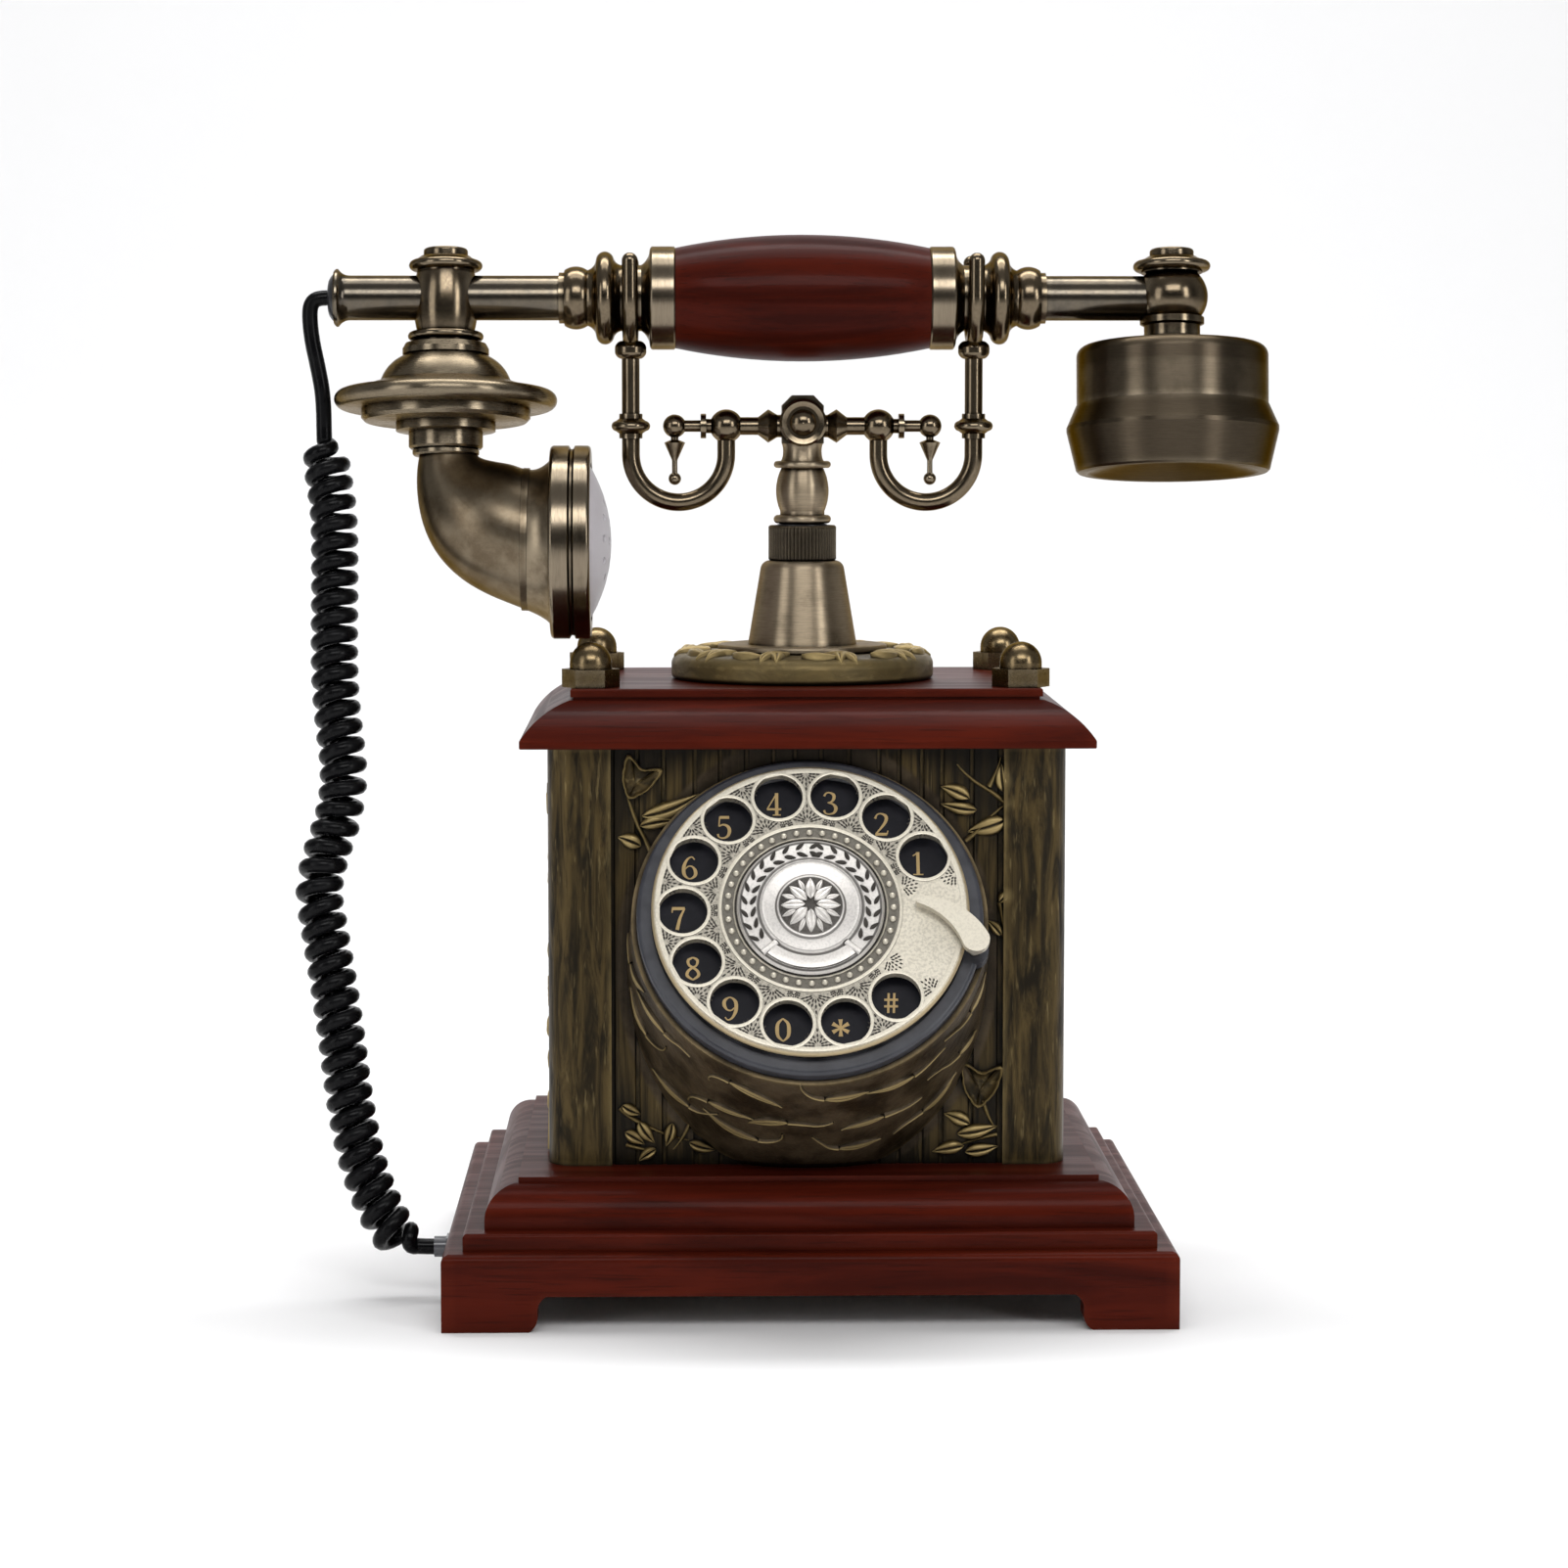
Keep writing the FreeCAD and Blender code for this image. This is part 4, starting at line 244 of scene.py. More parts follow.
class NodeTree:
    """Short ways to add and join shader nodes."""

    def __init__(self, tree):
        self.tree = tree

    def feed(self, socket, value):
        if isinstance(value, bpy.types.NodeSocket):
            self.tree.links.new(value, socket)
        elif hasattr(socket, "default_value"):
            wide = socket.type == "RGBA" and len(value) == 3
            socket.default_value = (*value, 1.0) if wide else value

    def add(self, kind, settings=None, **inputs):
        made = self.tree.nodes.new("ShaderNode" + kind)
        for key, value in (settings or {}).items():
            setattr(made, key, value)
        for key, value in inputs.items():
            self.feed(made.inputs[key.replace("_", " ")], value)
        return made

    def math(self, operation, first, second=0.0, clamp=False):
        made = self.tree.nodes.new("ShaderNodeMath")
        made.operation = operation
        made.use_clamp = clamp
        self.feed(made.inputs[0], first)
        self.feed(made.inputs[1], second)
        return made.outputs[0]

    def blend(self, share, first, second):
        """A colour between two, by a share from 0 to 1."""
        made = self.tree.nodes.new("ShaderNodeMix")
        made.data_type = "RGBA"
        self.feed(made.inputs[0], share)
        self.feed(made.inputs[6], first)
        self.feed(made.inputs[7], second)
        return made.outputs[2]

    def step(self, value, low, high, start=0.0, end=1.0):
        """A smooth step of a value between two levels."""
        made = self.add("MapRange", {"interpolation_type": "SMOOTHSTEP"}, Value=value)
        for key, amount in (("From Min", low), ("From Max", high), ("To Min", start), ("To Max", end)):
            self.feed(made.inputs[key], amount)
        return made.outputs["Result"]

    def band(self, value, inner, outer, soft, share=1.0):
        """A mask with soft edges between two levels."""
        rise = self.step(value, inner, inner + soft)
        return self.math("MULTIPLY", rise, self.step(value, outer - soft, outer, share, 0.0))

    def stretched(self, vector, scale):
        return self.add("Mapping", Vector=vector, Scale=scale).outputs["Vector"]

    def noise(self, vector, scale, detail, roughness, distortion=0.0):
        made = self.add("TexNoise", Vector=vector, Scale=scale, Detail=detail)
        self.feed(made.inputs["Roughness"], roughness)
        self.feed(made.inputs["Distortion"], distortion)
        return made.outputs["Fac"]

    def spot(self):
        """Place on the object, in metres of its own frame."""
        return self.add("TexCoord").outputs["Object"]


def shader_group(name, inputs, outputs, build):
    """A node group with named sockets, made once."""
    found = bpy.data.node_groups.get(name)
    if found:
        return found
    group = bpy.data.node_groups.new(name, "ShaderNodeTree")
    for label, kind, default in inputs:
        socket = group.interface.new_socket(label, in_out="INPUT", socket_type="NodeSocket" + kind)
        socket.default_value = default
    for label, kind in outputs:
        group.interface.new_socket(label, in_out="OUTPUT", socket_type="NodeSocket" + kind)
    tree = NodeTree(group)
    source = group.nodes.new("NodeGroupInput")
    target = group.nodes.new("NodeGroupOutput")
    for label, socket in build(tree, source.outputs).items():
        group.links.new(socket, target.inputs[label])
    return group


def board_grain_group():
    """Wood grain that runs along each board: along X, and along Y on faces that look left or right."""

    def build(tree, given):
        where = tree.add("TexCoord")
        place = tree.add("SeparateXYZ", Vector=where.outputs["Object"])
        facing = tree.add("SeparateXYZ", Vector=where.outputs["Normal"])
        sideways = tree.math("ABSOLUTE", facing.outputs[0])
        side = tree.math("GREATER_THAN", sideways, given["Side Limit"])
        along = tree.add("Mix", Factor=side)
        across = tree.add("Mix", Factor=side)
        for made, first, second in ((along, 0, 1), (across, 1, 0)):
            tree.feed(made.inputs[2], place.outputs[first])
            tree.feed(made.inputs[3], place.outputs[second])
        board = tree.add("CombineXYZ", X=along.outputs[0], Y=across.outputs[0], Z=place.outputs[2])
        figure = tree.noise(tree.stretched(board.outputs[0], (9, 90, 90)), 1.0, 5.0, 0.6, 1.2)
        pores = tree.noise(tree.stretched(board.outputs[0], (60, 1500, 1500)), 1.0, 2.0, 0.5)
        return {
            "Grain": tree.step(figure, 0.32, 0.68),
            "Pores": tree.step(pores, 0.56, 0.70),
        }

    return shader_group(
        "board_grain", [("Side Limit", "Float", 0.6)], [("Grain", "Float"), ("Pores", "Float")], build
    )


def brush_group():
    """Fine brush marks; the scale of the vector says which way they run."""

    def build(tree, given):
        coarse = tree.noise(given["Vector"], 1.0, 3.0, 0.7)
        fine = tree.noise(given["Vector"], 3.1, 2.0, 0.6)
        both = tree.math("MULTIPLY", tree.math("ADD", coarse, fine), 0.5)
        return {"Marks": both}

    return shader_group("brush_marks", [("Vector", "Vector", (0, 0, 0))], [("Marks", "Float")], build)


def age_group():
    """Darkening in corners from ambient occlusion, and rubbed places on outer edges; with a long reach,
    as on the casing's planks, the darkening is painted shade.
    """

    def build(tree, given):
        blotch = tree.noise(tree.spot(), given["Blotch Scale"], 4.0, 0.6)
        corner = tree.add("AmbientOcclusion", {"samples": 8}, Distance=given["Reach"])
        edge = tree.add("AmbientOcclusion", {"samples": 8, "inside": True}, Distance=given["Reach"])
        dirt = tree.math("SUBTRACT", 1.0, corner.outputs["AO"])
        dirt = tree.math("MULTIPLY", dirt, tree.step(blotch, 0.2, 0.7, 0.6, 1.25), clamp=True)
        rubbed = tree.math("SUBTRACT", 1.0, edge.outputs["AO"])
        rubbed = tree.math("MULTIPLY", rubbed, tree.step(blotch, 0.3, 0.65, 0.35, 1.2), clamp=True)
        return {"Dirt": dirt, "Rubbed": rubbed, "Blotch": blotch}

    return shader_group(
        "age",
        [("Reach", "Float", 0.002), ("Blotch Scale", "Float", 90.0)],
        [("Dirt", "Float"), ("Rubbed", "Float"), ("Blotch", "Float")],
        build,
    )


def use_group(tree, group, **inputs):
    made = tree.tree.nodes.new("ShaderNodeGroup")
    made.node_tree = group
    for key, value in inputs.items():
        tree.feed(made.inputs[key.replace("_", " ")], value)
    return made.outputs


def new_finish(name):
    """An empty material with its main shader."""
    made = bpy.data.materials.new(name)
    made.use_nodes = True
    made.node_tree.nodes.clear()
    tree = NodeTree(made.node_tree)
    shader = tree.add("BsdfPrincipled")
    target = tree.add("OutputMaterial")
    made.node_tree.links.new(shader.outputs[0], target.inputs["Surface"])
    return made, tree, shader.inputs


def bump(tree, height, strength, distance):
    made = tree.add("Bump", Height=height, Strength=strength, Distance=distance)
    return made.outputs["Normal"]


FINISHES = {}


def finish(name):
    """A finish by name, made when it is first asked for."""
    if name not in FINISHES:
        FINISHES[name] = FINISH_MAKERS[name](name)
    return FINISHES[name]


def mahogany_with(tone):
    """A maker of red lacquered wood; a low tone is darker, and the grip's darker copy is painted shade.
    """

    def make(name):
        made, tree, main = new_finish(name)
        grain = use_group(tree, board_grain_group())
        age = use_group(tree, age_group(), Reach=0.003)
        shades = colours()
        wood = tree.blend(grain["Grain"], tinted(shades.wood_dark, tone), tinted(shades.wood_light, tone))
        wood = tree.blend(tree.math("MULTIPLY", grain["Pores"], 0.45), wood, shades.wood_pores)
        worn = tree.blend(tree.math("MULTIPLY", age["Rubbed"], 0.35), wood, shades.wood_worn)
        # Darker in the wood's corners, by the occlusion mask.
        dirt = tree.math("MULTIPLY", age["Dirt"], 0.6)
        tree.feed(main["Base Color"], tree.blend(dirt, worn, shades.wood_corner_dark))
        tree.feed(main["Roughness"], tree.step(grain["Grain"], 0.0, 1.0, 0.42, 0.34))
        main["Specular IOR Level"].default_value = 0.035
        main["Coat Weight"].default_value = 0.036
        main["Coat Roughness"].default_value = 0.10
        tree.feed(main["Normal"], bump(tree, grain["Pores"], 0.12, 0.0002))
        return made

    return make


def bronze_with(rub, stretch=(330, 330, 14), lift=0.0, reach=0.0018, corner=0.0, shine=1.0):
    """A maker of cast bronze like old timber, with streaks, and gold on what stands out: rubbed gold, and
    on the relief's tops also a painted highlight.
    """

    def make(name):
        made, tree, main = new_finish(name)
        where = tree.spot()
        streaks = tree.noise(tree.stretched(where, stretch), 1.0, 5.0, 0.65, 0.8)
        fine = tree.noise(tree.stretched(where, tinted(stretch, 2.7)), 1.0, 3.0, 0.6)
        age = use_group(tree, age_group(), Reach=reach, Blotch_Scale=70.0)
        raised = tree.add("Attribute", {"attribute_name": "relief"}).outputs["Fac"]
        shades = colours()
        bright = tinted(shades.bronze_gold_and_highlight, shine)
        ground = tree.blend(tree.step(streaks, 0.36, 0.66), shades.bronze_dark, shades.bronze_mid)
        ground = tree.blend(tree.step(fine, 0.58, 0.74, 0.0, 0.22), ground, shades.bronze_gold_and_highlight)
        # The drum round the dial is browner than the panels, and shade is painted into the panel's
        # corners.
        place = use_group(tree, dial_place_group())
        drum = tree.step(place["Reach"], *DRUM_EDGE, DRUM_SHARE, 0.0)
        drum = tree.math("MULTIPLY", drum, tree.step(place["Out"], *DRUM_BACK))
        brown = tree.blend(tree.step(age["Blotch"], 0.35, 0.65), shades.drum_dark, shades.drum_light)
        ground = tree.blend(tree.step(drum, 0.0, DRUM_SHARE, lift, 0.0), ground, bright)
        ground = tree.blend(drum, ground, brown)
        # Painted shade: far from the dial, the front panel's corners are darkened.
        far = tree.step(place["Reach"], *PANEL_SHADED_CORNERS, 0.0, corner)
        ground = tree.blend(far, ground, shades.bronze_shade)
        gold = tree.math("MULTIPLY", age["Rubbed"], rub, clamp=True)
        # The relief's tops get gold: partly rubbed gold, partly a painted highlight.
        most = tree.step(drum, 0.0, DRUM_SHARE, 0.95, 0.82)
        edges = tree.math("MULTIPLY", tree.step(raised, 0.64, 0.95), most)
        ground = tree.blend(tree.math("MAXIMUM", gold, edges), ground, bright)
        # Dark in hollows; with the planks' long reach this is painted shade near the leaves, stiles and
        # drum.
        dirt = tree.step(age["Dirt"], 0.08, 0.60, 0.0, 0.95)
        tree.feed(main["Base Color"], tree.blend(dirt, ground, shades.bronze_dirt_and_shade))
        main["Metallic"].default_value = 0.45
        main["Specular IOR Level"].default_value = 0.22
        tree.feed(main["Roughness"], tree.step(streaks, 0.3, 0.7, 0.52, 0.36))
        both = tree.math("ADD", streaks, tree.math("MULTIPLY", fine, 0.4))
        tree.feed(main["Normal"], bump(tree, both, 0.35, 0.0006))
        return made

    return make


def brass_with(scale, rough, depth, tone=1.0, axis=None):
    """A maker of antique brass; brush marks follow a scale, and run round an axis on turned pieces. A
    tone makes lighter and darker copies; those of the cone and column, cup, horn and tubes are painted
    light and shade.
    """

    def make(name):
        made, tree, main = new_finish(name)
        shades = colours()
        shade = tinted(shades.brass, tone)
        marks = use_group(tree, brush_group(), Vector=tree.stretched(tree.spot(), scale))["Marks"]
        age = use_group(tree, age_group(), Reach=0.0022, Blotch_Scale=120.0)
        metal = tree.blend(tree.step(marks, 0.30, 0.70), tinted(shade, 0.7), shade)
        metal = tree.blend(tree.step(age["Blotch"], 0.46, 0.74, 0.0, 0.38), metal, shades.brass_blotch)
        metal = tree.blend(tree.math("MULTIPLY", age["Rubbed"], 0.6), metal, shades.brass_rubbed)
        dirt = tree.step(age["Dirt"], 0.10, 0.65, 0.0, 0.97)
        tree.feed(main["Base Color"], tree.blend(dirt, metal, shades.brass_dark))
        main["Metallic"].default_value = 1.0
        main["Specular Tint"].default_value = (*shades.brass_glance, 1.0)
        tree.feed(main["Roughness"], tree.step(marks, 0.3, 0.7, rough + 0.06, rough - 0.03))
        tree.feed(main["Normal"], bump(tree, marks, depth, 0.00012))
        if axis:
            round_axis = tree.add("Tangent", {"direction_type": "RADIAL", "axis": axis})
            tree.feed(main["Tangent"], round_axis.outputs["Tangent"])
            main["Anisotropic"].default_value = 0.8
            main["Anisotropic Rotation"].default_value = 0.25
        return made

    return make


def silver_with(key):
    """A maker of worn silver in one of the colours."""

    def make(name):
        made, tree, main = new_finish(name)
        shade = getattr(colours(), key)
        age = use_group(tree, age_group(), Reach=0.0012, Blotch_Scale=260.0)
        speck = tree.noise(tree.spot(), 1500.0, 3.0, 0.6)
        metal = tree.blend(tree.step(speck, 0.45, 0.62, 0.0, 0.22), shade, colours().silver_speck)
        metal = tree.blend(tree.step(age["Blotch"], 0.52, 0.80, 0.0, 0.3), metal, tinted(shade, 0.8))
        dirt = tree.step(age["Dirt"], 0.10, 0.62)
        tree.feed(main["Base Color"], tree.blend(dirt, metal, colours().silver_dark))
        main["Metallic"].default_value = 0.65
        main["Roughness"].default_value = 0.42
        tree.feed(main["Normal"], bump(tree, speck, 0.10, 0.0001))
        return made

    return make


def dial_place_group():
    """Millimetres from the dial's axis and out from its face, and the angle from its right-hand side."""

    def build(tree, given):
        away = tree.add("VectorMath", {"operation": "SUBTRACT"})
        tree.feed(away.inputs[0], tree.spot())
        away.inputs[1].default_value = DIAL_SPOT * MM
        parts = []
        for direction in (DIAL_RIGHT, DIAL_UP, DIAL_AXIS):
            dot = tree.add("VectorMath", {"operation": "DOT_PRODUCT"})
            tree.feed(dot.inputs[0], away.outputs[0])
            dot.inputs[1].default_value = direction / MM
            parts.append(dot.outputs["Value"])
        across, upward, out = parts
        squares = [tree.math("POWER", part, 2.0) for part in (across, upward)]
        reach = tree.math("SQRT", tree.math("ADD", *squares))
        return {"Reach": reach, "Angle": tree.math("ARCTAN2", upward, across), "Out": out}

    outputs = [("Reach", "Float"), ("Angle", "Float"), ("Out", "Float")]
    return shader_group("dial_place", [], outputs, build)


def badge_silver(name):
    """Silver of the badge: a dark ground in the middle, and dark lines round it."""
    made, tree, main = new_finish(name)
    reach = use_group(tree, dial_place_group())["Reach"]
    age = use_group(tree, age_group(), Reach=0.0012, Blotch_Scale=300.0)
    speck = tree.noise(tree.spot(), 1500.0, 3.0, 0.6)
    dark = tree.step(reach, *BADGE_GROUND, 0.98, 0.0)
    for radius, half, share in BADGE_LINES:
        away = tree.math("ABSOLUTE", tree.math("SUBTRACT", reach, radius))
        dark = tree.math("MAXIMUM", dark, tree.step(away, half * 0.4, half, share, 0.0))
    dark = tree.math("MULTIPLY", dark, tree.step(speck, 0.3, 0.7, 1.0, 0.92))
    dark = tree.math("MAXIMUM", dark, tree.step(age["Dirt"], 0.12, 0.6))
    metal = tree.blend(tree.step(speck, 0.45, 0.62, 0.0, 0.25), colours().badge, colours().badge_speck)
    tree.feed(main["Base Color"], tree.blend(dark, metal, colours().silver_dark))
    main["Metallic"].default_value = 0.75
    main["Specular IOR Level"].default_value = 0.2
    main["Roughness"].default_value = 0.42
    tree.feed(main["Normal"], bump(tree, speck, 0.12, 0.0001))
    return made


def wheel_silver(name):
    """Silver of the finger wheel: dark patina where it is engraved, bright on rims and the plain part."""
    made, tree, main = new_finish(name)
    place = use_group(tree, dial_place_group())
    reach = place["Reach"]
    plain = tree.math("ABSOLUTE", tree.math("SUBTRACT", place["Angle"], math.radians(PLAIN_MIDDLE)))
    engraved = tree.step(plain, *[math.radians(half) for half in PLAIN_HALF])
    engraved = tree.math("MULTIPLY", engraved, tree.band(reach, *ENGRAVED_RING, 0.6))
    beaded = tree.band(reach, *BEAD_RING, 0.2, 0.78)
    groove = tree.step(reach, HUB_EDGE, HUB_EDGE + 0.2, 1.0, 0.0)
    age = use_group(tree, age_group(), Reach=0.0012, Blotch_Scale=300.0)
    speck = tree.noise(tree.spot(), 1300.0, 3.0, 0.6)
    metal = tree.blend(tree.step(speck, 0.42, 0.64, 0.0, 0.35), colours().silver, colours().wheel_speck)
    metal = tree.blend(tree.step(reach, *GILT_EDGE), metal, colours().wheel_edge)
    patina = tree.math("MULTIPLY", engraved, tree.step(speck, 0.30, 0.70, 0.70, 0.12))
    for mask in (beaded, groove, tree.step(age["Dirt"], 0.15, 0.7)):
        patina = tree.math("MAXIMUM", patina, mask)
    tree.feed(main["Base Color"], tree.blend(patina, metal, colours().silver_dark))
    main["Metallic"].default_value = 0.6
    tree.feed(main["Roughness"], tree.step(patina, 0.0, 1.0, 0.42, 0.60))
    tree.feed(main["Normal"], bump(tree, speck, 0.15, 0.00012))
    return made


def plastic_with(key, rough, speckle=0.35, gloss=0.5):
    """A maker of moulded plastic in one of the colours, with a faint mould texture."""

    def make(name):
        made, tree, main = new_finish(name)
        base = getattr(colours(), key)
        cloud = tree.noise(tree.spot(), 160.0, 4.0, 0.6)
        light = [min(1.0, channel * (1.0 + speckle) + 0.002) for channel in base]
        tree.feed(main["Base Color"], tree.blend(tree.step(cloud, 0.35, 0.70), base, light))
        tree.feed(main["Roughness"], tree.step(cloud, 0.3, 0.7, rough - 0.04, rough + 0.06))
        main["Specular IOR Level"].default_value = gloss
        fine = tree.noise(tree.spot(), 2400.0, 2.0, 0.5)
        tree.feed(main["Normal"], bump(tree, fine, 0.05, 0.0001))
        return made

    return make


def steel(name):
    """Brushed steel of rods and springs."""
    made, tree, main = new_finish(name)
    marks = use_group(tree, brush_group(), Vector=tree.stretched(tree.spot(), (200, 200, 2400)))["Marks"]
    tree.feed(main["Base Color"], tree.blend(marks, (0.38, 0.38, 0.39), (0.62, 0.62, 0.63)))
    main["Metallic"].default_value = 1.0
    tree.feed(main["Roughness"], tree.step(marks, 0.3, 0.7, 0.38, 0.28))
    return made


def hardboard(name):
    """Pressed fibre of the cover below."""
    made, tree, main = new_finish(name)
    fibre = tree.noise(tree.spot(), 420.0, 6.0, 0.7)
    tree.feed(main["Base Color"], tree.blend(fibre, (0.050, 0.032, 0.020), (0.130, 0.088, 0.055)))
    main["Roughness"].default_value = 0.8
    tree.feed(main["Normal"], bump(tree, fibre, 0.3, 0.0003))
    return made


def circuit(name):
    """Green board with pale tracks."""
    made, tree, main = new_finish(name)
    cells = tree.add("TexVoronoi", {"feature": "DISTANCE_TO_EDGE"}, Vector=tree.spot(), Scale=260.0)
    tracks = tree.step(cells.outputs["Distance"], 0.03, 0.06, 1.0, 0.0)
    tree.feed(main["Base Color"], tree.blend(tracks, (0.020, 0.110, 0.045), (0.070, 0.230, 0.100)))
    main["Roughness"].default_value = 0.4
    return made


FINISH_MAKERS = {
    "lacquered_mahogany": mahogany_with(1.0),
    # The grip's darker copy of the mahogany is painted shade.
    "dark_mahogany": mahogany_with(0.78),
    "timber_bronze": bronze_with(0.38, (280, 280, 34)),
    # The planks' long reach darkens them near the leaves, stiles and drum as painted shade, most in the
    # front panel's corners.
    "plank_bronze": bronze_with(0.0, reach=0.007),
    "corner_bronze": bronze_with(0.0, reach=0.007, corner=0.84),
    # The gold tops of the vines and the wreath are partly a painted highlight.
    "vine_bronze": bronze_with(0.0, (150, 150, 150), 0.02, shine=0.86),
    "wreath_bronze": bronze_with(0.62, (70, 70, 170), 0.20, 0.003),
    # Lit and shaded copies of one brass: lighter on the cone and column, darker on the cup, horn and
    # tubes, as painted light and shade.
    "brass_upright": brass_with((130, 130, 4200), 0.37, 0.16, (1.55, 1.53, 1.48), "Z"),
    "brass_saucer": brass_with((130, 130, 4200), 0.26, 0.16, (0.95, 0.95, 0.92), "Z"),
    "brass_cup": brass_with((130, 130, 4200), 0.32, 0.20, (0.35, 0.335, 0.32), "Z"),
    "brass_horn": brass_with((1600, 1600, 1600), 0.30, 0.03, (0.47, 0.42, 0.36)),
    "brass_level": brass_with((4200, 130, 130), 0.20, 0.14),
    "brass_polished": brass_with((900, 900, 900), 0.19, 0.04, (0.70, 0.67, 0.62)),
    "brass_tube": brass_with((900, 900, 900), 0.20, 0.04, (0.40, 0.43, 0.49)),
    "brass_aged": brass_with((260, 260, 260), 0.26, 0.10, (0.80, 0.72, 0.54)),
    "brass_black": brass_with((260, 260, 260), 0.38, 0.10, (0.24, 0.24, 0.24)),
    "antique_silver": silver_with("silver"),
    "wheel_silver": wheel_silver,
    "badge_silver": badge_silver,
    "badge_ornament": silver_with("badge"),
    "engraved_black": plastic_with("silver_dark", 0.60, gloss=0.15),
    "rim_plastic": plastic_with("rim", 0.34),
    "plate_black": plastic_with("plate", 0.42, gloss=0.15),
    "black_plastic": plastic_with("black", 0.32),
    "figure_gold": plastic_with("figure", 0.45, 0.15),
    "cord_black": plastic_with("cord", 0.26, 0.2, 0.11),
    "pale_plastic": plastic_with("pale", 0.40, 0.06),
    "plug_plastic": plastic_with("plug", 0.20),
    "bright_steel": steel,
    "hardboard": hardboard,
    "circuit_green": circuit,
}


def dress(material_name, *nodes):
    """Gives CAD nodes a finish."""
    for node in nodes:
        mesh = frame["nodes"][node].data
        mesh.materials.clear()
        mesh.materials.append(finish(material_name))
        for polygon in mesh.polygons:
            polygon.material_index = 0


def new_object(name, data):
    """An object in the scene for a mesh, a lamp or a camera."""
    made = bpy.data.objects.new(name, data)
    bpy.context.scene.collection.objects.link(made)
    return made


class Shape:
    """Points and faces of one new piece, in millimetres, with a relief value for each point."""

    def __init__(self):
        self.points = []
        self.faces = []
        self.relief = []

    def loft(self, rings, relief=None, closed=False):
        """Joins rings of equally many points, with a cap at both ends or closed in a circle."""
        start = len(self.points)
        count = len(rings[0])
        for number, ring in enumerate(rings):
            self.points.extend(ring)
            self.relief.extend(relief[number] if relief else [0.0] * count)
        for row in range(len(rings) if closed else len(rings) - 1):
            here = start + row * count
            following = start + (row + 1) % len(rings) * count
            for column in range(count):
                beside = (column + 1) % count
                self.faces.append((here + column, here + beside, following + beside, following + column))
        if not closed:
            last = start + (len(rings) - 1) * count
            self.faces.append(tuple(start + n for n in range(count - 1, -1, -1)))
            self.faces.append(tuple(last + n for n in range(count)))

    def make(self, name, material_name, body, slot, sharp=40.0):
        """The finished piece, which rides on a body."""
        mesh = bpy.data.meshes.new(name)
        mesh.from_pydata([Vector(p) * MM for p in self.points], [], self.faces)
        values = mesh.attributes.new("relief", "FLOAT", "POINT")
        values.data.foreach_set("value", self.relief)
        cleaned = bmesh.new()
        cleaned.from_mesh(mesh)
        bmesh.ops.recalc_face_normals(cleaned, faces=cleaned.faces)
        cleaned.to_mesh(mesh)
        cleaned.free()
        mesh.materials.append(finish(material_name))
        mesh.shade_smooth()
        mesh.set_sharp_from_angle(angle=math.radians(sharp))
        made = new_object(name, mesh)
        if body:
            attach(made, body)
        return made


def dial_point(across, upward, out):
    return DIAL_SPOT + DIAL_RIGHT * across + DIAL_UP * upward + DIAL_AXIS * out


def dial_face(level):
    """A surface across the dial at a level of its axis."""

    def surface(across, upward, high):
        return dial_point(across, upward, level + high)

    return surface


def front_panel(across, upward, high):
    front = CASING_MIDDLE_Y - CASING_HALF_DEPTH + PANEL_RECESS
    return Vector((across, front - high, upward))


def side_panel(side):
    def surface(along, upward, high):
        return Vector((side * (CASING_HALF_WIDTH - PANEL_RECESS + high), CASING_MIDDLE_Y + along, upward))

    return surface


def drum_radius(back):
    """The drum's radius at a distance back from its front."""
    return DRUM_FRONT_RADIUS + (DRUM_BACK_RADIUS - DRUM_FRONT_RADIUS) * back / DRUM_LENGTH


def drum_wall(around, back, high):
    """The drum's outside: millimetres round it from its right-hand side, and back from its front."""
    radius = drum_radius(back) + high
    return dial_point(*polar(radius, math.degrees(around / DRUM_FRONT_RADIUS)), -back)


def turned_path(start, heading, bends, step=1.4):
    """Points and headings of a line on a surface, from lengths and turns in degrees."""
    across, upward = start
    angle = math.radians(heading)
    path = [(across, upward, angle)]
    for length, turn in bends:
        count = max(2, round(length / step))
        for _ in range(count):
            angle += math.radians(turn) / count
            across += math.cos(angle) * length / count
            upward += math.sin(angle) * length / count
            path.append((across, upward, angle))
    return path


# Half sections from the left edge: shares of the half width and of the height.
LEAF_SIDE = ((-1.0, -0.25), (-0.94, 0.38), (-0.76, 0.74), (-0.45, 1.0), (-0.20, 0.94), (-0.06, 0.66))
LEAF_SECTION = LEAF_SIDE + tuple((-across, level) for across, level in reversed(LEAF_SIDE))
STEM_SECTION = ((-1.0, -0.3), (-0.72, 0.62), (0.0, 1.0), (0.72, 0.62), (1.0, -0.3))


def add_moulding(shape, surface, path, section, half_width, height):
    """A raised strip along a path; its half width and height depend on the share of the way."""
    rings = []
    for number, (across, upward, angle) in enumerate(path):
        share = number / (len(path) - 1)
        half = half_width(share)
        high = height(share)
        ring = []
        for sideways, level in section:
            x = across - math.sin(angle) * sideways * half
            y = upward + math.cos(angle) * sideways * half
            ring.append(surface(x, y, high * level if level > 0 else ROOT))
        rings.append(ring)
    shape.loft(rings, [[max(0.0, level) for _, level in section]] * len(path))


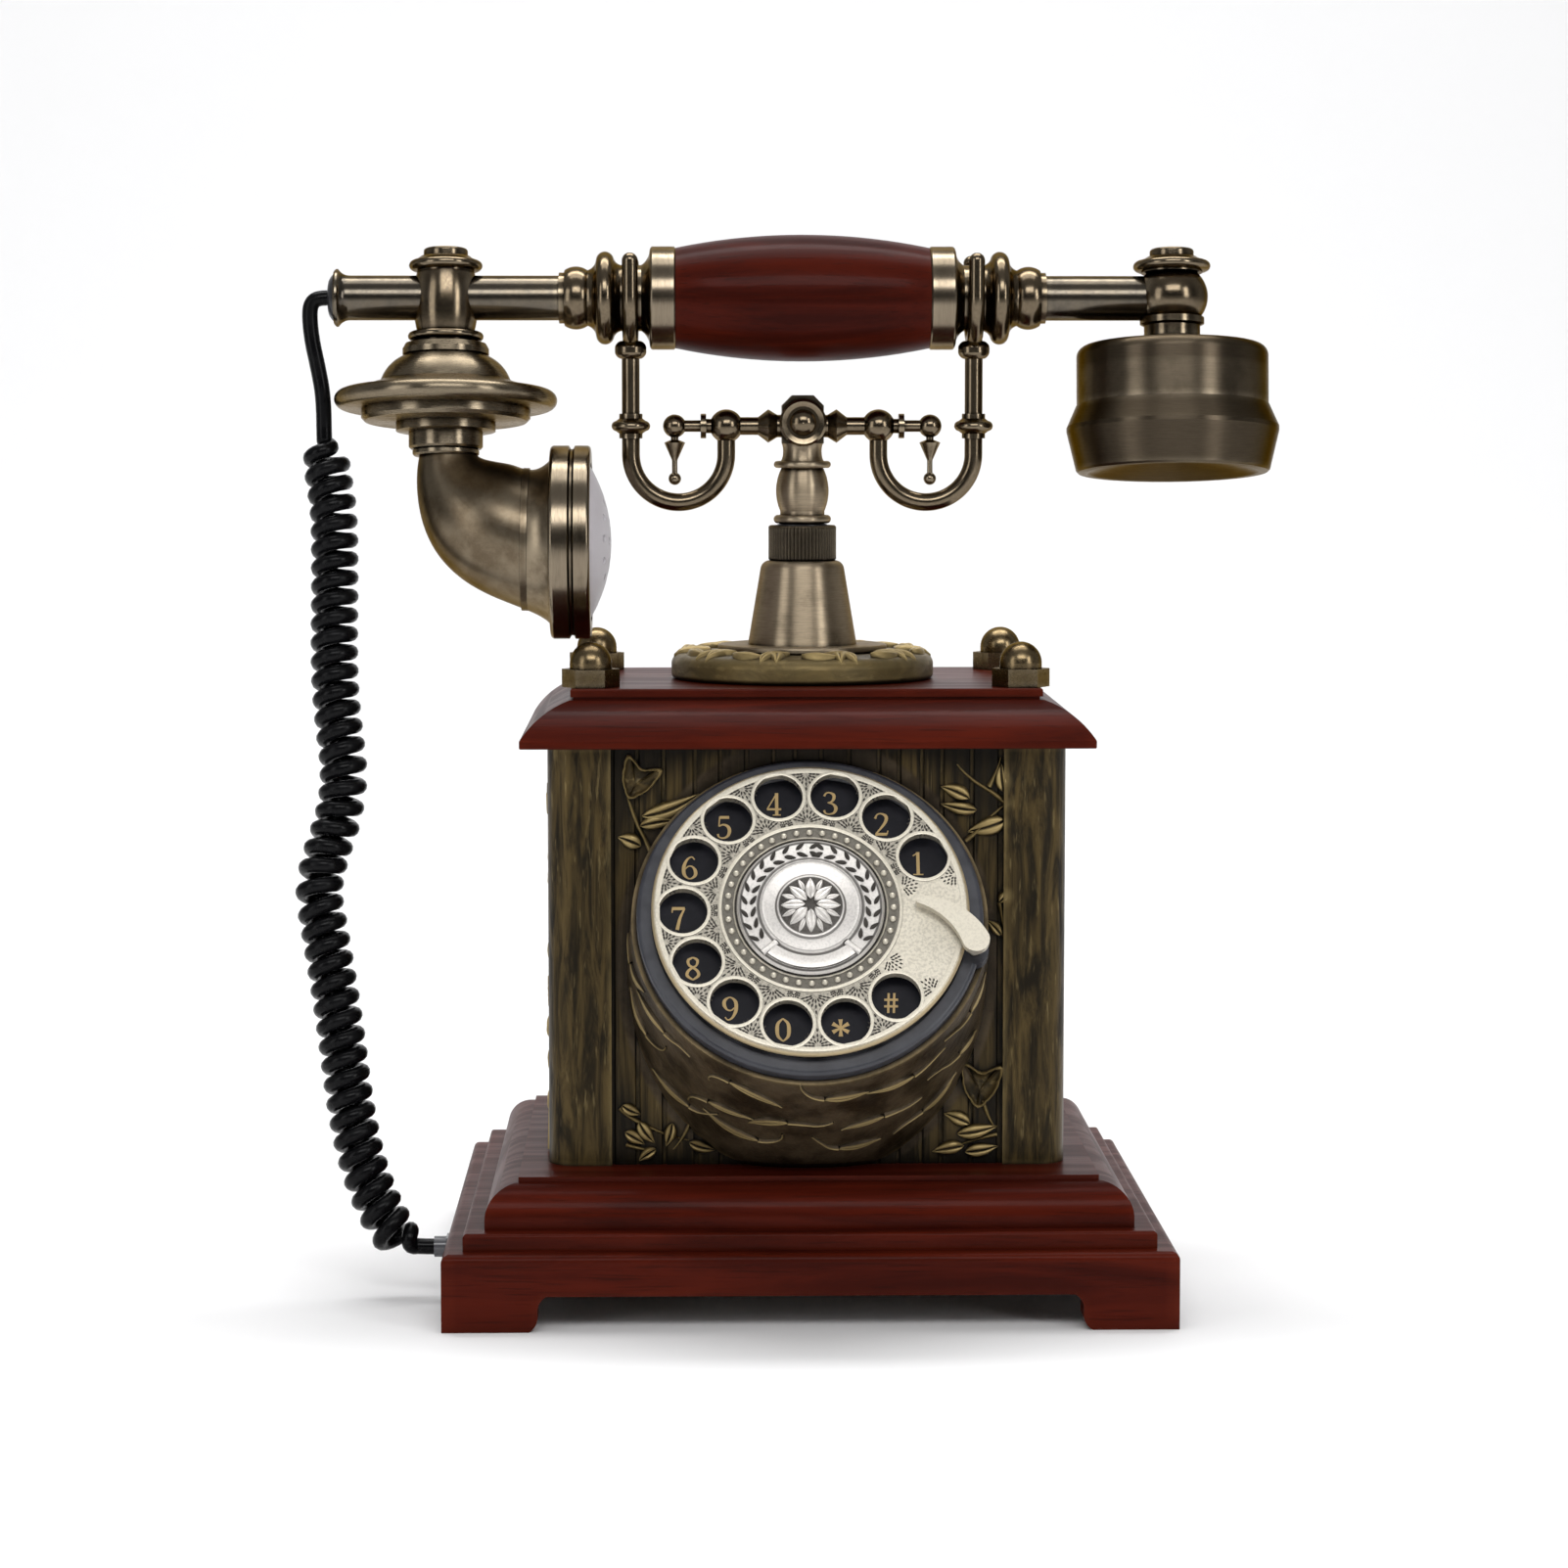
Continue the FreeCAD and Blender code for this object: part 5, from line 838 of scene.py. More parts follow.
def add_leaf(shape, surface, start, heading, length, width, high, bend, rows=9):
    """A leaf with two raised halves and a groove between them."""
    path = turned_path(start, heading, [(length, bend)], length / (rows - 1))

    def half_width(share):
        return width / 2 * max(0.05, math.sin(math.pi * share**0.75) ** 0.8)

    def height(share):
        return high * (0.45 + 0.55 * math.sin(math.pi * min(1.0, share + 0.12)))

    add_moulding(shape, surface, path, LEAF_SECTION, half_width, height)


def add_stem(shape, surface, path, width, high, taper=0.55):
    """A round stem that thins towards its end."""

    def half_width(share):
        return width / 2 * (1.0 - taper * share)

    def height(share):
        return high * (1.0 - taper * share)

    add_moulding(shape, surface, path, STEM_SECTION, half_width, height)


# Outline of an ivy leaf from its tip round to its stalk: degrees and shares of its radius.
IVY_OUTLINE = (
    (0, 0.52), (14, 0.56), (26, 0.74), (38, 1.0), (47, 0.88), (60, 0.66),
    (85, 0.50), (115, 0.42), (145, 0.42), (168, 0.52), (180, 0.56),
)
IVY_VEINS = (36.0, 180.0)
VEIN_TOP = 0.72
VEIN_FALL = 0.06
IVY_POINTS = 72
# From its edge to its middle: shares of the radius and of the height.
IVY_SECTION = (
    (1.0, -0.25), (0.96, 0.75), (0.89, 1.0), (0.78, 0.55),
    (0.55, 0.36), (0.25, 0.34), (0.04, 0.66),
)
IVY_RIM = 0.85


def ivy_reach(turn):
    """Reach of the leaf's edge at an angle from its tip."""
    turn = abs((turn + 180.0) % 360.0 - 180.0)
    for (low, first), (high, second) in zip(IVY_OUTLINE, IVY_OUTLINE[1:]):
        if turn <= high:
            return first + (second - first) * (turn - low) / (high - low)
    return IVY_OUTLINE[-1][1]


def add_ivy(shape, surface, centre, heading, radius, high):
    """A lobed leaf with a raised edge and veins, its stalk end away from its heading."""
    rings = []
    relief = []
    for share, edge in IVY_SECTION:
        ring = []
        levels = []
        for number in range(IVY_POINTS):
            turn = 360.0 * number / IVY_POINTS
            spot = polar(radius * share * ivy_reach(turn), heading + turn, centre)
            off_vein = min(abs(min(turn, 360.0 - turn) - vein) for vein in IVY_VEINS)
            level = max(edge, VEIN_TOP - VEIN_FALL * off_vein) if share < IVY_RIM else edge
            ring.append(surface(*spot, high * level if level > 0 else ROOT))
            levels.append(max(0.0, level))
        rings.append(ring)
        relief.append(levels)
    shape.loft(rings, relief)


# Leaves of a vine: lean and bend in degrees, and width for their length; the last one is longer.
VINE_LEAN = 52
VINE_BEND = 35
VINE_WIDTH = 0.42
LAST_LENGTH = 1.15
LAST_WIDTH = 0.45
LAST_BEND = 12


def add_vine(shape, surface, start, heading, bends, leaf, high, every, stem):
    """A stem with leaves on both sides by turns, and one at its end."""
    path = turned_path(start, heading, bends)
    add_stem(shape, surface, path, stem, high)
    travelled = 0.0
    side = 1
    for before, now in zip(path, path[1:]):
        travelled += math.hypot(now[0] - before[0], now[1] - before[1])
        if travelled >= every:
            travelled = 0.0
            turn = math.degrees(now[2]) + side * VINE_LEAN
            add_leaf(shape, surface, now[:2], turn, leaf, leaf * VINE_WIDTH, high, -side * VINE_BEND)
            side = -side
    *tip, angle = path[-1]
    turn = math.degrees(angle)
    add_leaf(shape, surface, tip, turn, leaf * LAST_LENGTH, leaf * LAST_WIDTH, high, LAST_BEND)


def add_ring(shape, surface, centre, inner, outer, high, count=48):
    """A low rounded ring on a surface."""
    middle = (inner + outer) / 2
    section = ((inner, -0.1), (inner, high * 0.6), (middle, high), (outer, high * 0.6), (outer, -0.1))
    rings = []
    for number in range(count):
        turn = 360.0 * number / count
        rings.append([surface(*polar(radius, turn, centre), level) for radius, level in section])
    shape.loft(rings, [[1.0] * len(section)] * count, closed=True)


def tube_rings(points, radius, count=12):
    """Rings of a round tube along points, with no twist."""
    rings = []
    side = None
    for number, spot in enumerate(points):
        before = points[max(0, number - 1)]
        after = points[min(len(points) - 1, number + 1)]
        along = (after - before).normalized()
        if side is None:
            side = along.orthogonal().normalized()
        side = (side - along * side.dot(along)).normalized()
        other = along.cross(side)
        ring = []
        for step in range(count):
            angle = 2 * math.pi * step / count
            ring.append(spot + side * (radius * math.cos(angle)) + other * (radius * math.sin(angle)))
        rings.append(ring)
    return rings


def smooth_line(poles, resolution):
    """Points of a smooth line that the poles draw towards themselves."""
    curve = bpy.data.curves.new("route", "CURVE")
    curve.dimensions = "3D"
    spline = curve.splines.new("NURBS")
    spline.points.add(len(poles) - 1)
    for point, pole in zip(spline.points, poles):
        point.co = (*pole, 1.0)
    spline.order_u = 3
    spline.use_endpoint_u = True
    spline.resolution_u = resolution
    holder = bpy.data.objects.new("route", curve)
    mesh = bpy.data.meshes.new_from_object(holder)
    line = [vertex.co.copy() for vertex in mesh.vertices]
    bpy.data.objects.remove(holder)
    bpy.data.curves.remove(curve)
    bpy.data.meshes.remove(mesh)
    return line


class TELEPHONE_OT_stage(bpy.types.Operator):
    """Makes the floor, the lamps and the camera"""

    bl_idname = "telephone.stage"
    bl_label = "Stage"

    CAMERA_SPOT = (-33.2, -1187.4, 254.3)
    CAMERA_DOWN = 5.29
    CAMERA_RIGHT = 1.33
    SENSOR_WIDTH = 36.0
    # The backdrop in metres: the half width and place of the floor's front edge, and the wall behind.
    FLOOR_FRONT = (160.0, -40.0)
    WALL_HALF_WIDTH = 5.0
    WALL_HEIGHT = 4.0
    SWEEP_START = 1.6
    SWEEP_RADIUS = 1.0
    SWEEP_STEPS = 12
    # Name, place, aim, width, height and power.
    LAMPS = (
        ("lamp_top", (0.0, 0.15, 1.60), (0.0, 0.05, 0.10), 1.3, 0.8, 9.0),
        ("lamp_front", (0.05, -1.25, 1.05), (0.0, 0.0, 0.15), 1.1, 0.45, 9.0),
        ("lamp_left", (-1.25, -1.05, 0.55), (0.0, 0.0, 0.14), 0.55, 1.1, 4.6),
        ("lamp_right", (1.15, -1.20, 0.65), (0.0, 0.0, 0.14), 0.35, 0.9, 6.2),
        ("lamp_wall", (0.0, 0.90, 3.00), (0.0, 2.40, 0.60), 3.0, 1.0, 75.0),
    )

    def backdrop(self):
        """A floor that sweeps up into a wall behind the telephone."""
        profile = [(self.SWEEP_START, 0.0)]
        for step in range(1, self.SWEEP_STEPS + 1):
            angle = math.radians(90 * step / self.SWEEP_STEPS)
            away = self.SWEEP_START + self.SWEEP_RADIUS * math.sin(angle)
            profile.append((away, self.SWEEP_RADIUS * (1.0 - math.cos(angle))))
        profile.append((self.SWEEP_START + self.SWEEP_RADIUS, self.WALL_HEIGHT))
        half, front = self.FLOOR_FRONT
        points = [(-half, front, 0.0), (half, front, 0.0)]
        for y, z in profile:
            points += [(-self.WALL_HALF_WIDTH, y, z), (self.WALL_HALF_WIDTH, y, z)]
        faces = [(2 * n, 2 * n + 1, 2 * n + 3, 2 * n + 2) for n in range(len(profile))]
        mesh = bpy.data.meshes.new("backdrop")
        mesh.from_pydata(points, [], faces)
        mesh.shade_smooth()
        made, _, main = new_finish("backdrop")
        main["Base Color"].default_value = (*bpy.context.scene.telephone_stage.floor, 1.0)
        main["Roughness"].default_value = 0.9
        main["Specular IOR Level"].default_value = 0.1
        mesh.materials.append(made)
        new_object("backdrop", mesh)

    def room(self):
        """Soft light from all round, darker on the viewer's side as in a studio."""
        world = bpy.data.worlds.new("room")
        world.use_nodes = True
        tree = NodeTree(world.node_tree)
        towards = tree.add("SeparateXYZ", Vector=tree.add("TexCoord").outputs["Generated"])
        viewer = tree.step(towards.outputs[1], -0.55, 0.25, 1.0, 0.0)
        overhead = tree.step(towards.outputs[2], 0.25, 0.9)
        shade = tree.blend(viewer, (1.0, 1.0, 1.0), (0.07, 0.07, 0.07))
        shade = tree.blend(overhead, shade, (0.9, 0.9, 0.9))
        background = world.node_tree.nodes["Background"]
        tree.feed(background.inputs["Color"], shade)
        background.inputs["Strength"].default_value = bpy.context.scene.telephone_stage.room
        return world

    def execute(self, context):
        scene = context.scene
        scene.view_settings.view_transform = "Standard"
        self.backdrop()
        for name, spot, aim, wide, deep, power in self.LAMPS:
            lamp = bpy.data.lights.new(name, "AREA")
            lamp.shape = "RECTANGLE"
            lamp.size = wide
            lamp.size_y = deep
            lamp.energy = power
            holder = new_object(name, lamp)
            holder.location = spot
            holder.rotation_euler = (Vector(aim) - Vector(spot)).to_track_quat("-Z", "Y").to_euler()
        scene.world = self.room()
        camera = bpy.data.cameras.new("camera")
        camera.lens = scene.telephone_stage.lens
        camera.sensor_width = self.SENSOR_WIDTH
        camera.clip_start = 0.05
        camera.clip_end = 50.0
        holder = new_object("camera", camera)
        holder.location = Vector(self.CAMERA_SPOT) * MM
        tilt = math.radians(90 - self.CAMERA_DOWN)
        holder.rotation_euler = (tilt, 0.0, -math.radians(self.CAMERA_RIGHT))
        scene.camera = holder
        return {"FINISHED"}


class TELEPHONE_OT_cord(bpy.types.Operator):
    """Winds the curly cord from the handset's grommet to its plug"""

    bl_idname = "telephone.cord"
    bl_label = "Curly cord"

    # Ways from the grommet's tip: across and upward.
    LEAD = (
        (0.0, 0.0), (-3.0, 0.0), (-5.0, -1.6), (-5.5, -5.0),
        (-4.9, -12.0), (-3.2, -20.0), (-1.6, -29.0), (-1.6, -36.0),
    )
    # The coil's middle line: shares of the way down, with offsets to the right and to the viewer.
    COIL_LINE = (
        (0.0, 0.0, 0.0), (0.030, 0.0, 0.0), (0.070, 1.4, 0.0), (0.110, 3.1, 0.2),
        (0.179, 3.6, 0.6), (0.304, 3.6, 0.7), (0.367, 4.9, 0.8), (0.433, 7.2, 0.9),
        (0.487, 5.4, 0.9), (0.529, 1.8, 1.0), (0.574, -0.4, 1.0), (0.616, 1.6, 1.1),
        (0.726, 6.2, 1.0), (0.835, 9.6, 0.0), (0.899, 13.0, 0.0), (0.944, 17.0, 0.0),
        (0.979, 21.4, 0.0), (0.997, 25.6, 0.0), (1.0, 29.4, 0.0), (1.0, 34.0, 0.0),
    )
    COIL_ACROSS = 34.0
    # The ends are straight, and the turns widen over a ramp.
    STRAIGHT = 4.6
    RAMP = 6.5
    LEAST_GAP = 0.7
    SHARPEST_BEND = 0.1
    BEND_SPAN = 6
    TURN_POINTS = 18
    LEAD_POINTS = 10
    LINE_POINTS = 24

    def coil(self, line, radius, pitch):
        """A helix round a line of points; where the line bends, its turns stand further apart."""
        lengths = [0.0]
        for one, two in zip(line, line[1:]):
            lengths.append(lengths[-1] + (two - one).length)
        total = lengths[-1]
        ways = []
        for number in range(len(line)):
            before = line[max(0, number - 1)]
            after = line[min(len(line) - 1, number + 1)]
            ways.append((after - before).normalized())
        points = []
        angle = 0.0
        distance = 0.0
        number = 0
        wire = size("cord_diameter")
        while distance < total:
            while lengths[number + 1] < distance:
                number += 1
            span = lengths[number + 1] - lengths[number]
            share = (distance - lengths[number]) / span
            spot = line[number].lerp(line[number + 1], share)
            along = ways[number].lerp(ways[number + 1], share).normalized()
            side = (Vector((0, 1, 0)) - along * along.y).normalized()
            other = along.cross(side)
            inner = max(0.0, min(1.0, (min(distance, total - distance) - self.STRAIGHT) / self.RAMP))
            out = radius * inner * inner * (3 - 2 * inner)
            points.append(spot + side * (out * math.cos(angle)) + other * (out * math.sin(angle)))
            low = max(0, number - self.BEND_SPAN)
            high = min(len(line) - 1, number + self.BEND_SPAN)
            bend = ways[low].angle(ways[high]) / max(1e-6, lengths[high] - lengths[low])
            rise = max(pitch, (wire + self.LEAST_GAP) / (1 - radius * min(self.SHARPEST_BEND, bend)))
            angle += 2 * math.pi / self.TURN_POINTS
            distance += rise / self.TURN_POINTS
        points.append(line[-1])
        return points

    def execute(self, context):
        plug_low, plug_high = corners("cord_plug")
        grip_low, grip_high = corners("grip")
        grip_z = (grip_low.z + grip_high.z) / 2
        exit_spot = Vector((corners("cord_grommet")[0].x, CASING_MIDDLE_Y, grip_z))
        lead_poles = [exit_spot + Vector((across, 0.0, upward)) for across, upward in self.LEAD]
        top = lead_poles[-1]
        end = Vector((plug_low.x, (plug_low.y + plug_high.y) / 2, (plug_low.z + plug_high.z) / 2))
        first = self.COIL_LINE[1][0]
        poles = []
        for share, across, ahead in self.COIL_LINE:
            lean = max(0.0, share - first) / (1 - first)
            right = across + (end.x - top.x - self.COIL_ACROSS) * lean
            away = (end.y - top.y) * lean - ahead
            poles.append(top + Vector((right, away, (end.z - top.z) * share)))
        lead = smooth_line(lead_poles, self.LEAD_POINTS)
        line = smooth_line(poles, self.LINE_POINTS)
        points = lead[:-1] + self.coil(line, size("coil_radius"), size("coil_pitch"))
        length = sum((two - one).length for one, two in zip(points, points[1:]))
        shape = Shape()
        shape.loft(tube_rings(points, size("cord_diameter") / 2))
        cord = shape.make("curly_cord", "cord_black", None, "cord_black", CORD_SHARP)
        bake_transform(cord)
        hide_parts("cord_lead", "cord_coil")
        size("cord_diameter") * MM
        dress("plug_plastic", "cord_plug")
        dress("black_plastic", "cord_grommet", "handset_jack", "line_jack")
        return {"FINISHED"}


class TELEPHONE_OT_woodwork(bpy.types.Operator):
    """Finishes the plinth, the lid, the grip and the cover below"""

    bl_idname = "telephone.woodwork"
    bl_label = "Woodwork"

    def execute(self, context):
        dress("lacquered_mahogany", "plinth_skirt", "plinth_board", "lid")
        # The grip is dressed in a darker copy of the mahogany, as painted shade.
        dress("dark_mahogany", "grip")
        dress("hardboard", "base_cover")
        return {"FINISHED"}


class TELEPHONE_OT_casing(bpy.types.Operator):
    """Finishes the casing and lays planks in its panels"""

    bl_idname = "telephone.casing"
    bl_label = "Casing"

    PLANK_HIGH = 0.75
    PLANK_GAP = 1.0
    PLANK_ROUND = 0.35
    PLANK_SIDE = 0.6
    # Least and most width of a plank for the width that is set.
    FRONT_SPREAD = (0.72, 1.25)
    SIDE_SPREAD = (0.8, 1.2)
    SEED = 11
    LEAST_WIDTH = 2.0
    LEAST_LENGTH = 1.0
    PANEL_GAP = 0.3
    END_GAP = 0.02
    # How far planks run into the drum.
    DRUM_HOLD = 3.0

    def plank(self, shape, surface, left, right, low, high):
        """One plank with rounded edges."""
        half = (right - left) / 2 - self.PLANK_GAP / 2
        middle = (left + right) / 2
        top = self.PLANK_HIGH
        side = ((half, ROOT), (half, top * self.PLANK_SIDE), (half - self.PLANK_ROUND, top))
        section = [(-across, out) for across, out in side] + list(reversed(side))
        rings = []
        for level in (low, high):
            rings.append([surface(middle + across, level, out) for across, out in section])
        shape.loft(rings)

    def spans(self, edge, draw, spread):
        """Left and right edges of planks of uneven width across a panel."""
        left = -edge + self.PANEL_GAP
        while left < edge - self.LEAST_WIDTH:
            right = min(edge - self.PANEL_GAP, left + size("plank_width") * draw.uniform(*spread))
            yield left, right
            left = right

    def execute(self, context):
        dress("timber_bronze", "casing")
        low = CASING_LOW.z + self.END_GAP
        high = CASING_HIGH.z - self.END_GAP
        draw = random.Random(self.SEED)
        # Where the drum passes the front panel it cuts an oval out of the planks.
        back = (front_panel(0, 0, 0).y - DIAL_SPOT.y) / -DIAL_AXIS.y
        oval_z = DIAL_SPOT.z - DIAL_AXIS.z * back
        oval_x = drum_radius(back)
        oval_high = oval_x / -DIAL_AXIS.y
        shape = Shape()
        for left, right in self.spans(CASING_HALF_WIDTH - STILE_WIDTH, draw, self.FRONT_SPREAD):
            lengths = [(low, high)]
            far = max(abs(left), abs(right))
            if far < oval_x - self.DRUM_HOLD:
                cut = oval_high * math.sqrt(1 - (far / oval_x) ** 2) - self.DRUM_HOLD
                lengths = [(low, oval_z - cut), (oval_z + cut, high)]
            for start, end in lengths:
                if end - start > self.LEAST_LENGTH:
                    self.plank(shape, front_panel, left, right, start, end)
        # The front planks carry painted shade in the panel's corners and near the leaves, stiles and
        # drum.
        shape.make("front_planks", "corner_bronze", "base", "bronze_resin", PLANK_SHARP)
        for name, side in SIDES:
            shape = Shape()
            for left, right in self.spans(CASING_HALF_DEPTH - STILE_WIDTH, draw, self.SIDE_SPREAD):
                self.plank(shape, side_panel(side), left, right, low, high)
            shape.make("side_planks_" + name, "plank_bronze", "base", "bronze_resin", PLANK_SHARP)
        return {"FINISHED"}


class TELEPHONE_OT_vines(bpy.types.Operator):
    """Lays vines with leaves on the casing's panels and round its drum"""

    bl_idname = "telephone.vines"
    bl_label = "Vine relief"

    # On the front panel: start, heading and bends of each stem.
    FRONT_STEMS = (
        ((-43.5, 127.7), 118.0, ((11.0, -4.0), (8.3, -10.0), (5.0, -40.0))),
        ((44.7, 132.0), 36.0, ((8.0, 12.0), (8.0, -12.0))),
        ((57.0, 141.9), 136.0, ((10.0, 14.0), (9.0, -20.0))),
        ((51.3, 147.4), 58.0, ((9.0, 16.0),)),
        ((54.5, 114.5), -75.0, ((10.0, -15.0),)),
        ((50.0, 57.7), -78.0, ((9.0, 20.0),)),
        ((54.0, 48.0), 190.0, ((14.0, 14.0),)),
        ((-53.2, 56.0), -48.0, ((8.0, 20.0), (14.0, 15.0))),
        ((-51.5, 45.5), -20.0, ((9.0, 10.0),)),
        ((-33.4, 51.5), -110.0, ((9.0, -20.0),)),
    )
    # Start, heading, length, width and bend of each long leaf.
    FRONT_LEAVES = (
        ((-46.7, 139.2), 6.0, 17.5, 4.4, 28.0),
        ((-47.3, 136.4), 20.0, 10.5, 3.6, -22.0),
        ((-46.9, 130.8), 150.0, 7.2, 4.0, 18.0),
        ((45.8, 144.1), 147.0, 8.8, 3.9, 20.0),
        ((47.9, 140.8), 178.0, 10.4, 3.5, -14.0),
        ((56.2, 138.0), 205.0, 11.4, 4.8, -14.0),
        ((55.5, 146.0), 104.0, 8.0, 3.6, -16.0),
        ((54.3, 114.5), 45.0, 5.0, 2.8, 10.0),
        ((55.0, 105.0), 120.0, 6.0, 2.8, 25.0),
        ((46.3, 51.1), 150.0, 8.0, 3.8, 16.0),
        ((42.6, 48.2), 4.0, 11.8, 3.8, 12.0),
        ((44.6, 44.8), 186.0, 9.2, 3.6, 10.0),
        ((44.9, 43.0), 4.0, 9.6, 3.6, 10.0),
        ((-52.6, 56.8), -38.0, 6.0, 3.2, 20.0),
        ((-47.8, 52.0), -66.0, 7.6, 3.6, 22.0),
        ((-38.4, 51.6), -95.0, 7.0, 3.2, -18.0),
        ((-51.8, 49.0), -24.0, 6.6, 3.4, -16.0),
        ((-43.0, 44.2), 205.0, 6.0, 3.0, 20.0),
        ((-33.6, 46.0), -24.0, 8.0, 3.2, 14.0),
    )
    # Centre, heading and radius of each lobed leaf.
    FRONT_IVY = (((-48.4, 148.6), 66.0, 9.0), ((49.0, 61.0), 84.0, 10.0))
    # On the side panels: start, heading and bends of each vine, length of its leaves and their distance.
    SIDE = (
        ((-30.0, 40.0), 78.0, ((26.0, 24.0), (26.0, -50.0), (30.0, 44.0)), 13.0, 10.0),
        ((4.0, 40.0), 100.0, ((28.0, -30.0), (30.0, 50.0), (26.0, -40.0)), 13.0, 10.0),
        ((30.0, 44.0), 95.0, ((24.0, 20.0), (28.0, -30.0), (24.0, 20.0)), 12.0, 10.0),
    )
    SIDE_IVY = (((-18.0, 84.0), 90.0, 8.0), ((18.0, 120.0), 70.0, 8.0), ((-22.0, 140.0), 110.0, 7.0))
    # Rows round the drum: distance from its front, and first and last angle.
    DRUM_ROWS = ((10.0, 190, 350), (26.0, 208, 332), (41.0, 230, 310))
    # Heights as shares of the relief height, and widths of the stems.
    STEM_HIGH = 1.4
    LEAF_HIGH = 1.7
    IVY_HIGH = 1.8
    DRUM_HIGH = 0.75
    SIDE_HIGH = 2.4
    FRONT_STEM = 2.0
    DRUM_STEM = 1.5
    SIDE_STEM = 2.6
    # Rings along a long leaf, and how much wider the front's leaves are than their table says.
    LEAF_ROWS = 12
    FULL = 1.25
    SEED = 8

    def drum_vines(self, shape, high):
        """Rows of long leaves with stalks round the drum's underside; further back there is less room."""
        draw = random.Random(self.SEED)
        for back, first, last in self.DRUM_ROWS:
            around = DRUM_FRONT_RADIUS * math.radians(first)
            end = DRUM_FRONT_RADIUS * math.radians(last)
            while around < end:
                heading = draw.choice((0.0, 180.0)) + draw.uniform(-26.0, 26.0)
                start = (around, back + draw.uniform(-2.5, 2.5))
                length = draw.uniform(12.0, 18.0)
                width = draw.uniform(3.2, 4.6)
                bend = draw.uniform(-45.0, 45.0)
                add_leaf(shape, drum_wall, start, heading, length, width, high, bend, self.LEAF_ROWS)
                near = (draw.uniform(5, 8), draw.uniform(-50, 50))
                far = (draw.uniform(4, 7), draw.uniform(-70, 70))
                stalk = turned_path(start, heading + 180.0, (near, far))
                add_stem(shape, drum_wall, stalk, self.DRUM_STEM, high)
                around += draw.uniform(20.0, 27.0)

    def execute(self, context):
        high = size("relief_height")
        shape = Shape()
        for start, heading, bends in self.FRONT_STEMS:
            path = turned_path(start, heading, bends)
            add_stem(shape, front_panel, path, self.FRONT_STEM, high * self.STEM_HIGH)
        top = high * self.LEAF_HIGH
        for start, heading, length, width, bend in self.FRONT_LEAVES:
            full = width * self.FULL
            add_leaf(shape, front_panel, start, heading, length, full, top, bend, self.LEAF_ROWS)
        for centre, heading, radius in self.FRONT_IVY:
            add_ivy(shape, front_panel, centre, heading, radius, high * self.IVY_HIGH)
        shape.make("front_vines", "vine_bronze", "base", "bronze_resin", ORNAMENT_SHARP)
        shape = Shape()
        self.drum_vines(shape, high * self.DRUM_HIGH)
        shape.make("drum_vines", "vine_bronze", "base", "bronze_resin", ORNAMENT_SHARP)
        top = high * self.SIDE_HIGH
        for name, side in SIDES:
            shape = Shape()
            surface = side_panel(side)
            for start, heading, bends, leaf, every in self.SIDE:
                add_vine(shape, surface, start, heading, bends, leaf, top, every, self.SIDE_STEM)
            for centre, heading, radius in self.SIDE_IVY:
                add_ivy(shape, surface, centre, heading, radius, top)
            shape.make("side_vines_" + name, "vine_bronze", "base", "bronze_resin", ORNAMENT_SHARP)
        return {"FINISHED"}


class TELEPHONE_OT_pedestal(bpy.types.Operator):
    """Finishes the pedestal and lays a wreath of leaves on its flange"""

    bl_idname = "telephone.pedestal"
    bl_label = "Pedestal"

    LEAVES = 10
    # Inner leaves stand in pairs: degrees along their circle and lean, then length, width and height.
    INNER_CIRCLE = 27.5
    INNER_PAIR = ((-6.0, 62.0), (9.0, -58.0))
    INNER_LEAF = (12.5, 5.6, 1.5)
    INNER_BEND = -0.9
    # Outer leaves lie along the edge: length, width, height and bend.
    OUTER_CIRCLE = 33.8
    OUTER_TURN = 16.0
    OUTER_LEAN = 100.0
    OUTER_LEAF = (11.0, 4.4, 1.4, 18.0)
    # Where the flange's edge starts to curve down, and how fast.
    EDGE_START = 35.0
    EDGE_DROP = 0.22
    # Inner and outer radius of the washer that the cradle's column comes down on, and its play.
    WASHER = (4.6, 7.3)
    WASHER_PLAY = 0.04

    def flange_top(self, across, upward, high):
        """The flange's upper side, from its middle; its edge curves down."""
        drop = max(0.0, math.hypot(across, upward) - self.EDGE_START) ** 2 * self.EDGE_DROP
        return Vector((across, CASING_MIDDLE_Y + upward, FLANGE_TOP - drop + high))

    def collar_top(self, across, upward, high):
        return Vector((across, CASING_MIDDLE_Y + upward, COLLAR_TOP + high))

    def execute(self, context):
        dress("wreath_bronze", "pedestal_flange")
        dress("brass_upright", "pedestal_cone")
        dress("brass_black", "knurled_collar")
        dress("brass_aged", "acorn_nuts")
        shape = Shape()
        for number in range(self.LEAVES):
            turn = 360.0 * number / self.LEAVES
            for offset, lean in self.INNER_PAIR:
                start = polar(self.INNER_CIRCLE, turn + offset)
                bend = self.INNER_BEND * lean
                add_leaf(shape, self.flange_top, start, turn + lean, *self.INNER_LEAF, bend)
            start = polar(self.OUTER_CIRCLE, turn + self.OUTER_TURN)
            add_leaf(shape, self.flange_top, start, turn + self.OUTER_LEAN, *self.OUTER_LEAF)
        shape.make("flange_wreath", "wreath_bronze", "base", "bronze_resin", ORNAMENT_SHARP)
        shape = Shape()
        thick = COLUMN_BASE - COLLAR_TOP - self.WASHER_PLAY
        add_ring(shape, self.collar_top, (0, 0), *self.WASHER, thick)
        shape.make("collar_washer", "black_plastic", "base", "black_plastic")
        return {"FINISHED"}


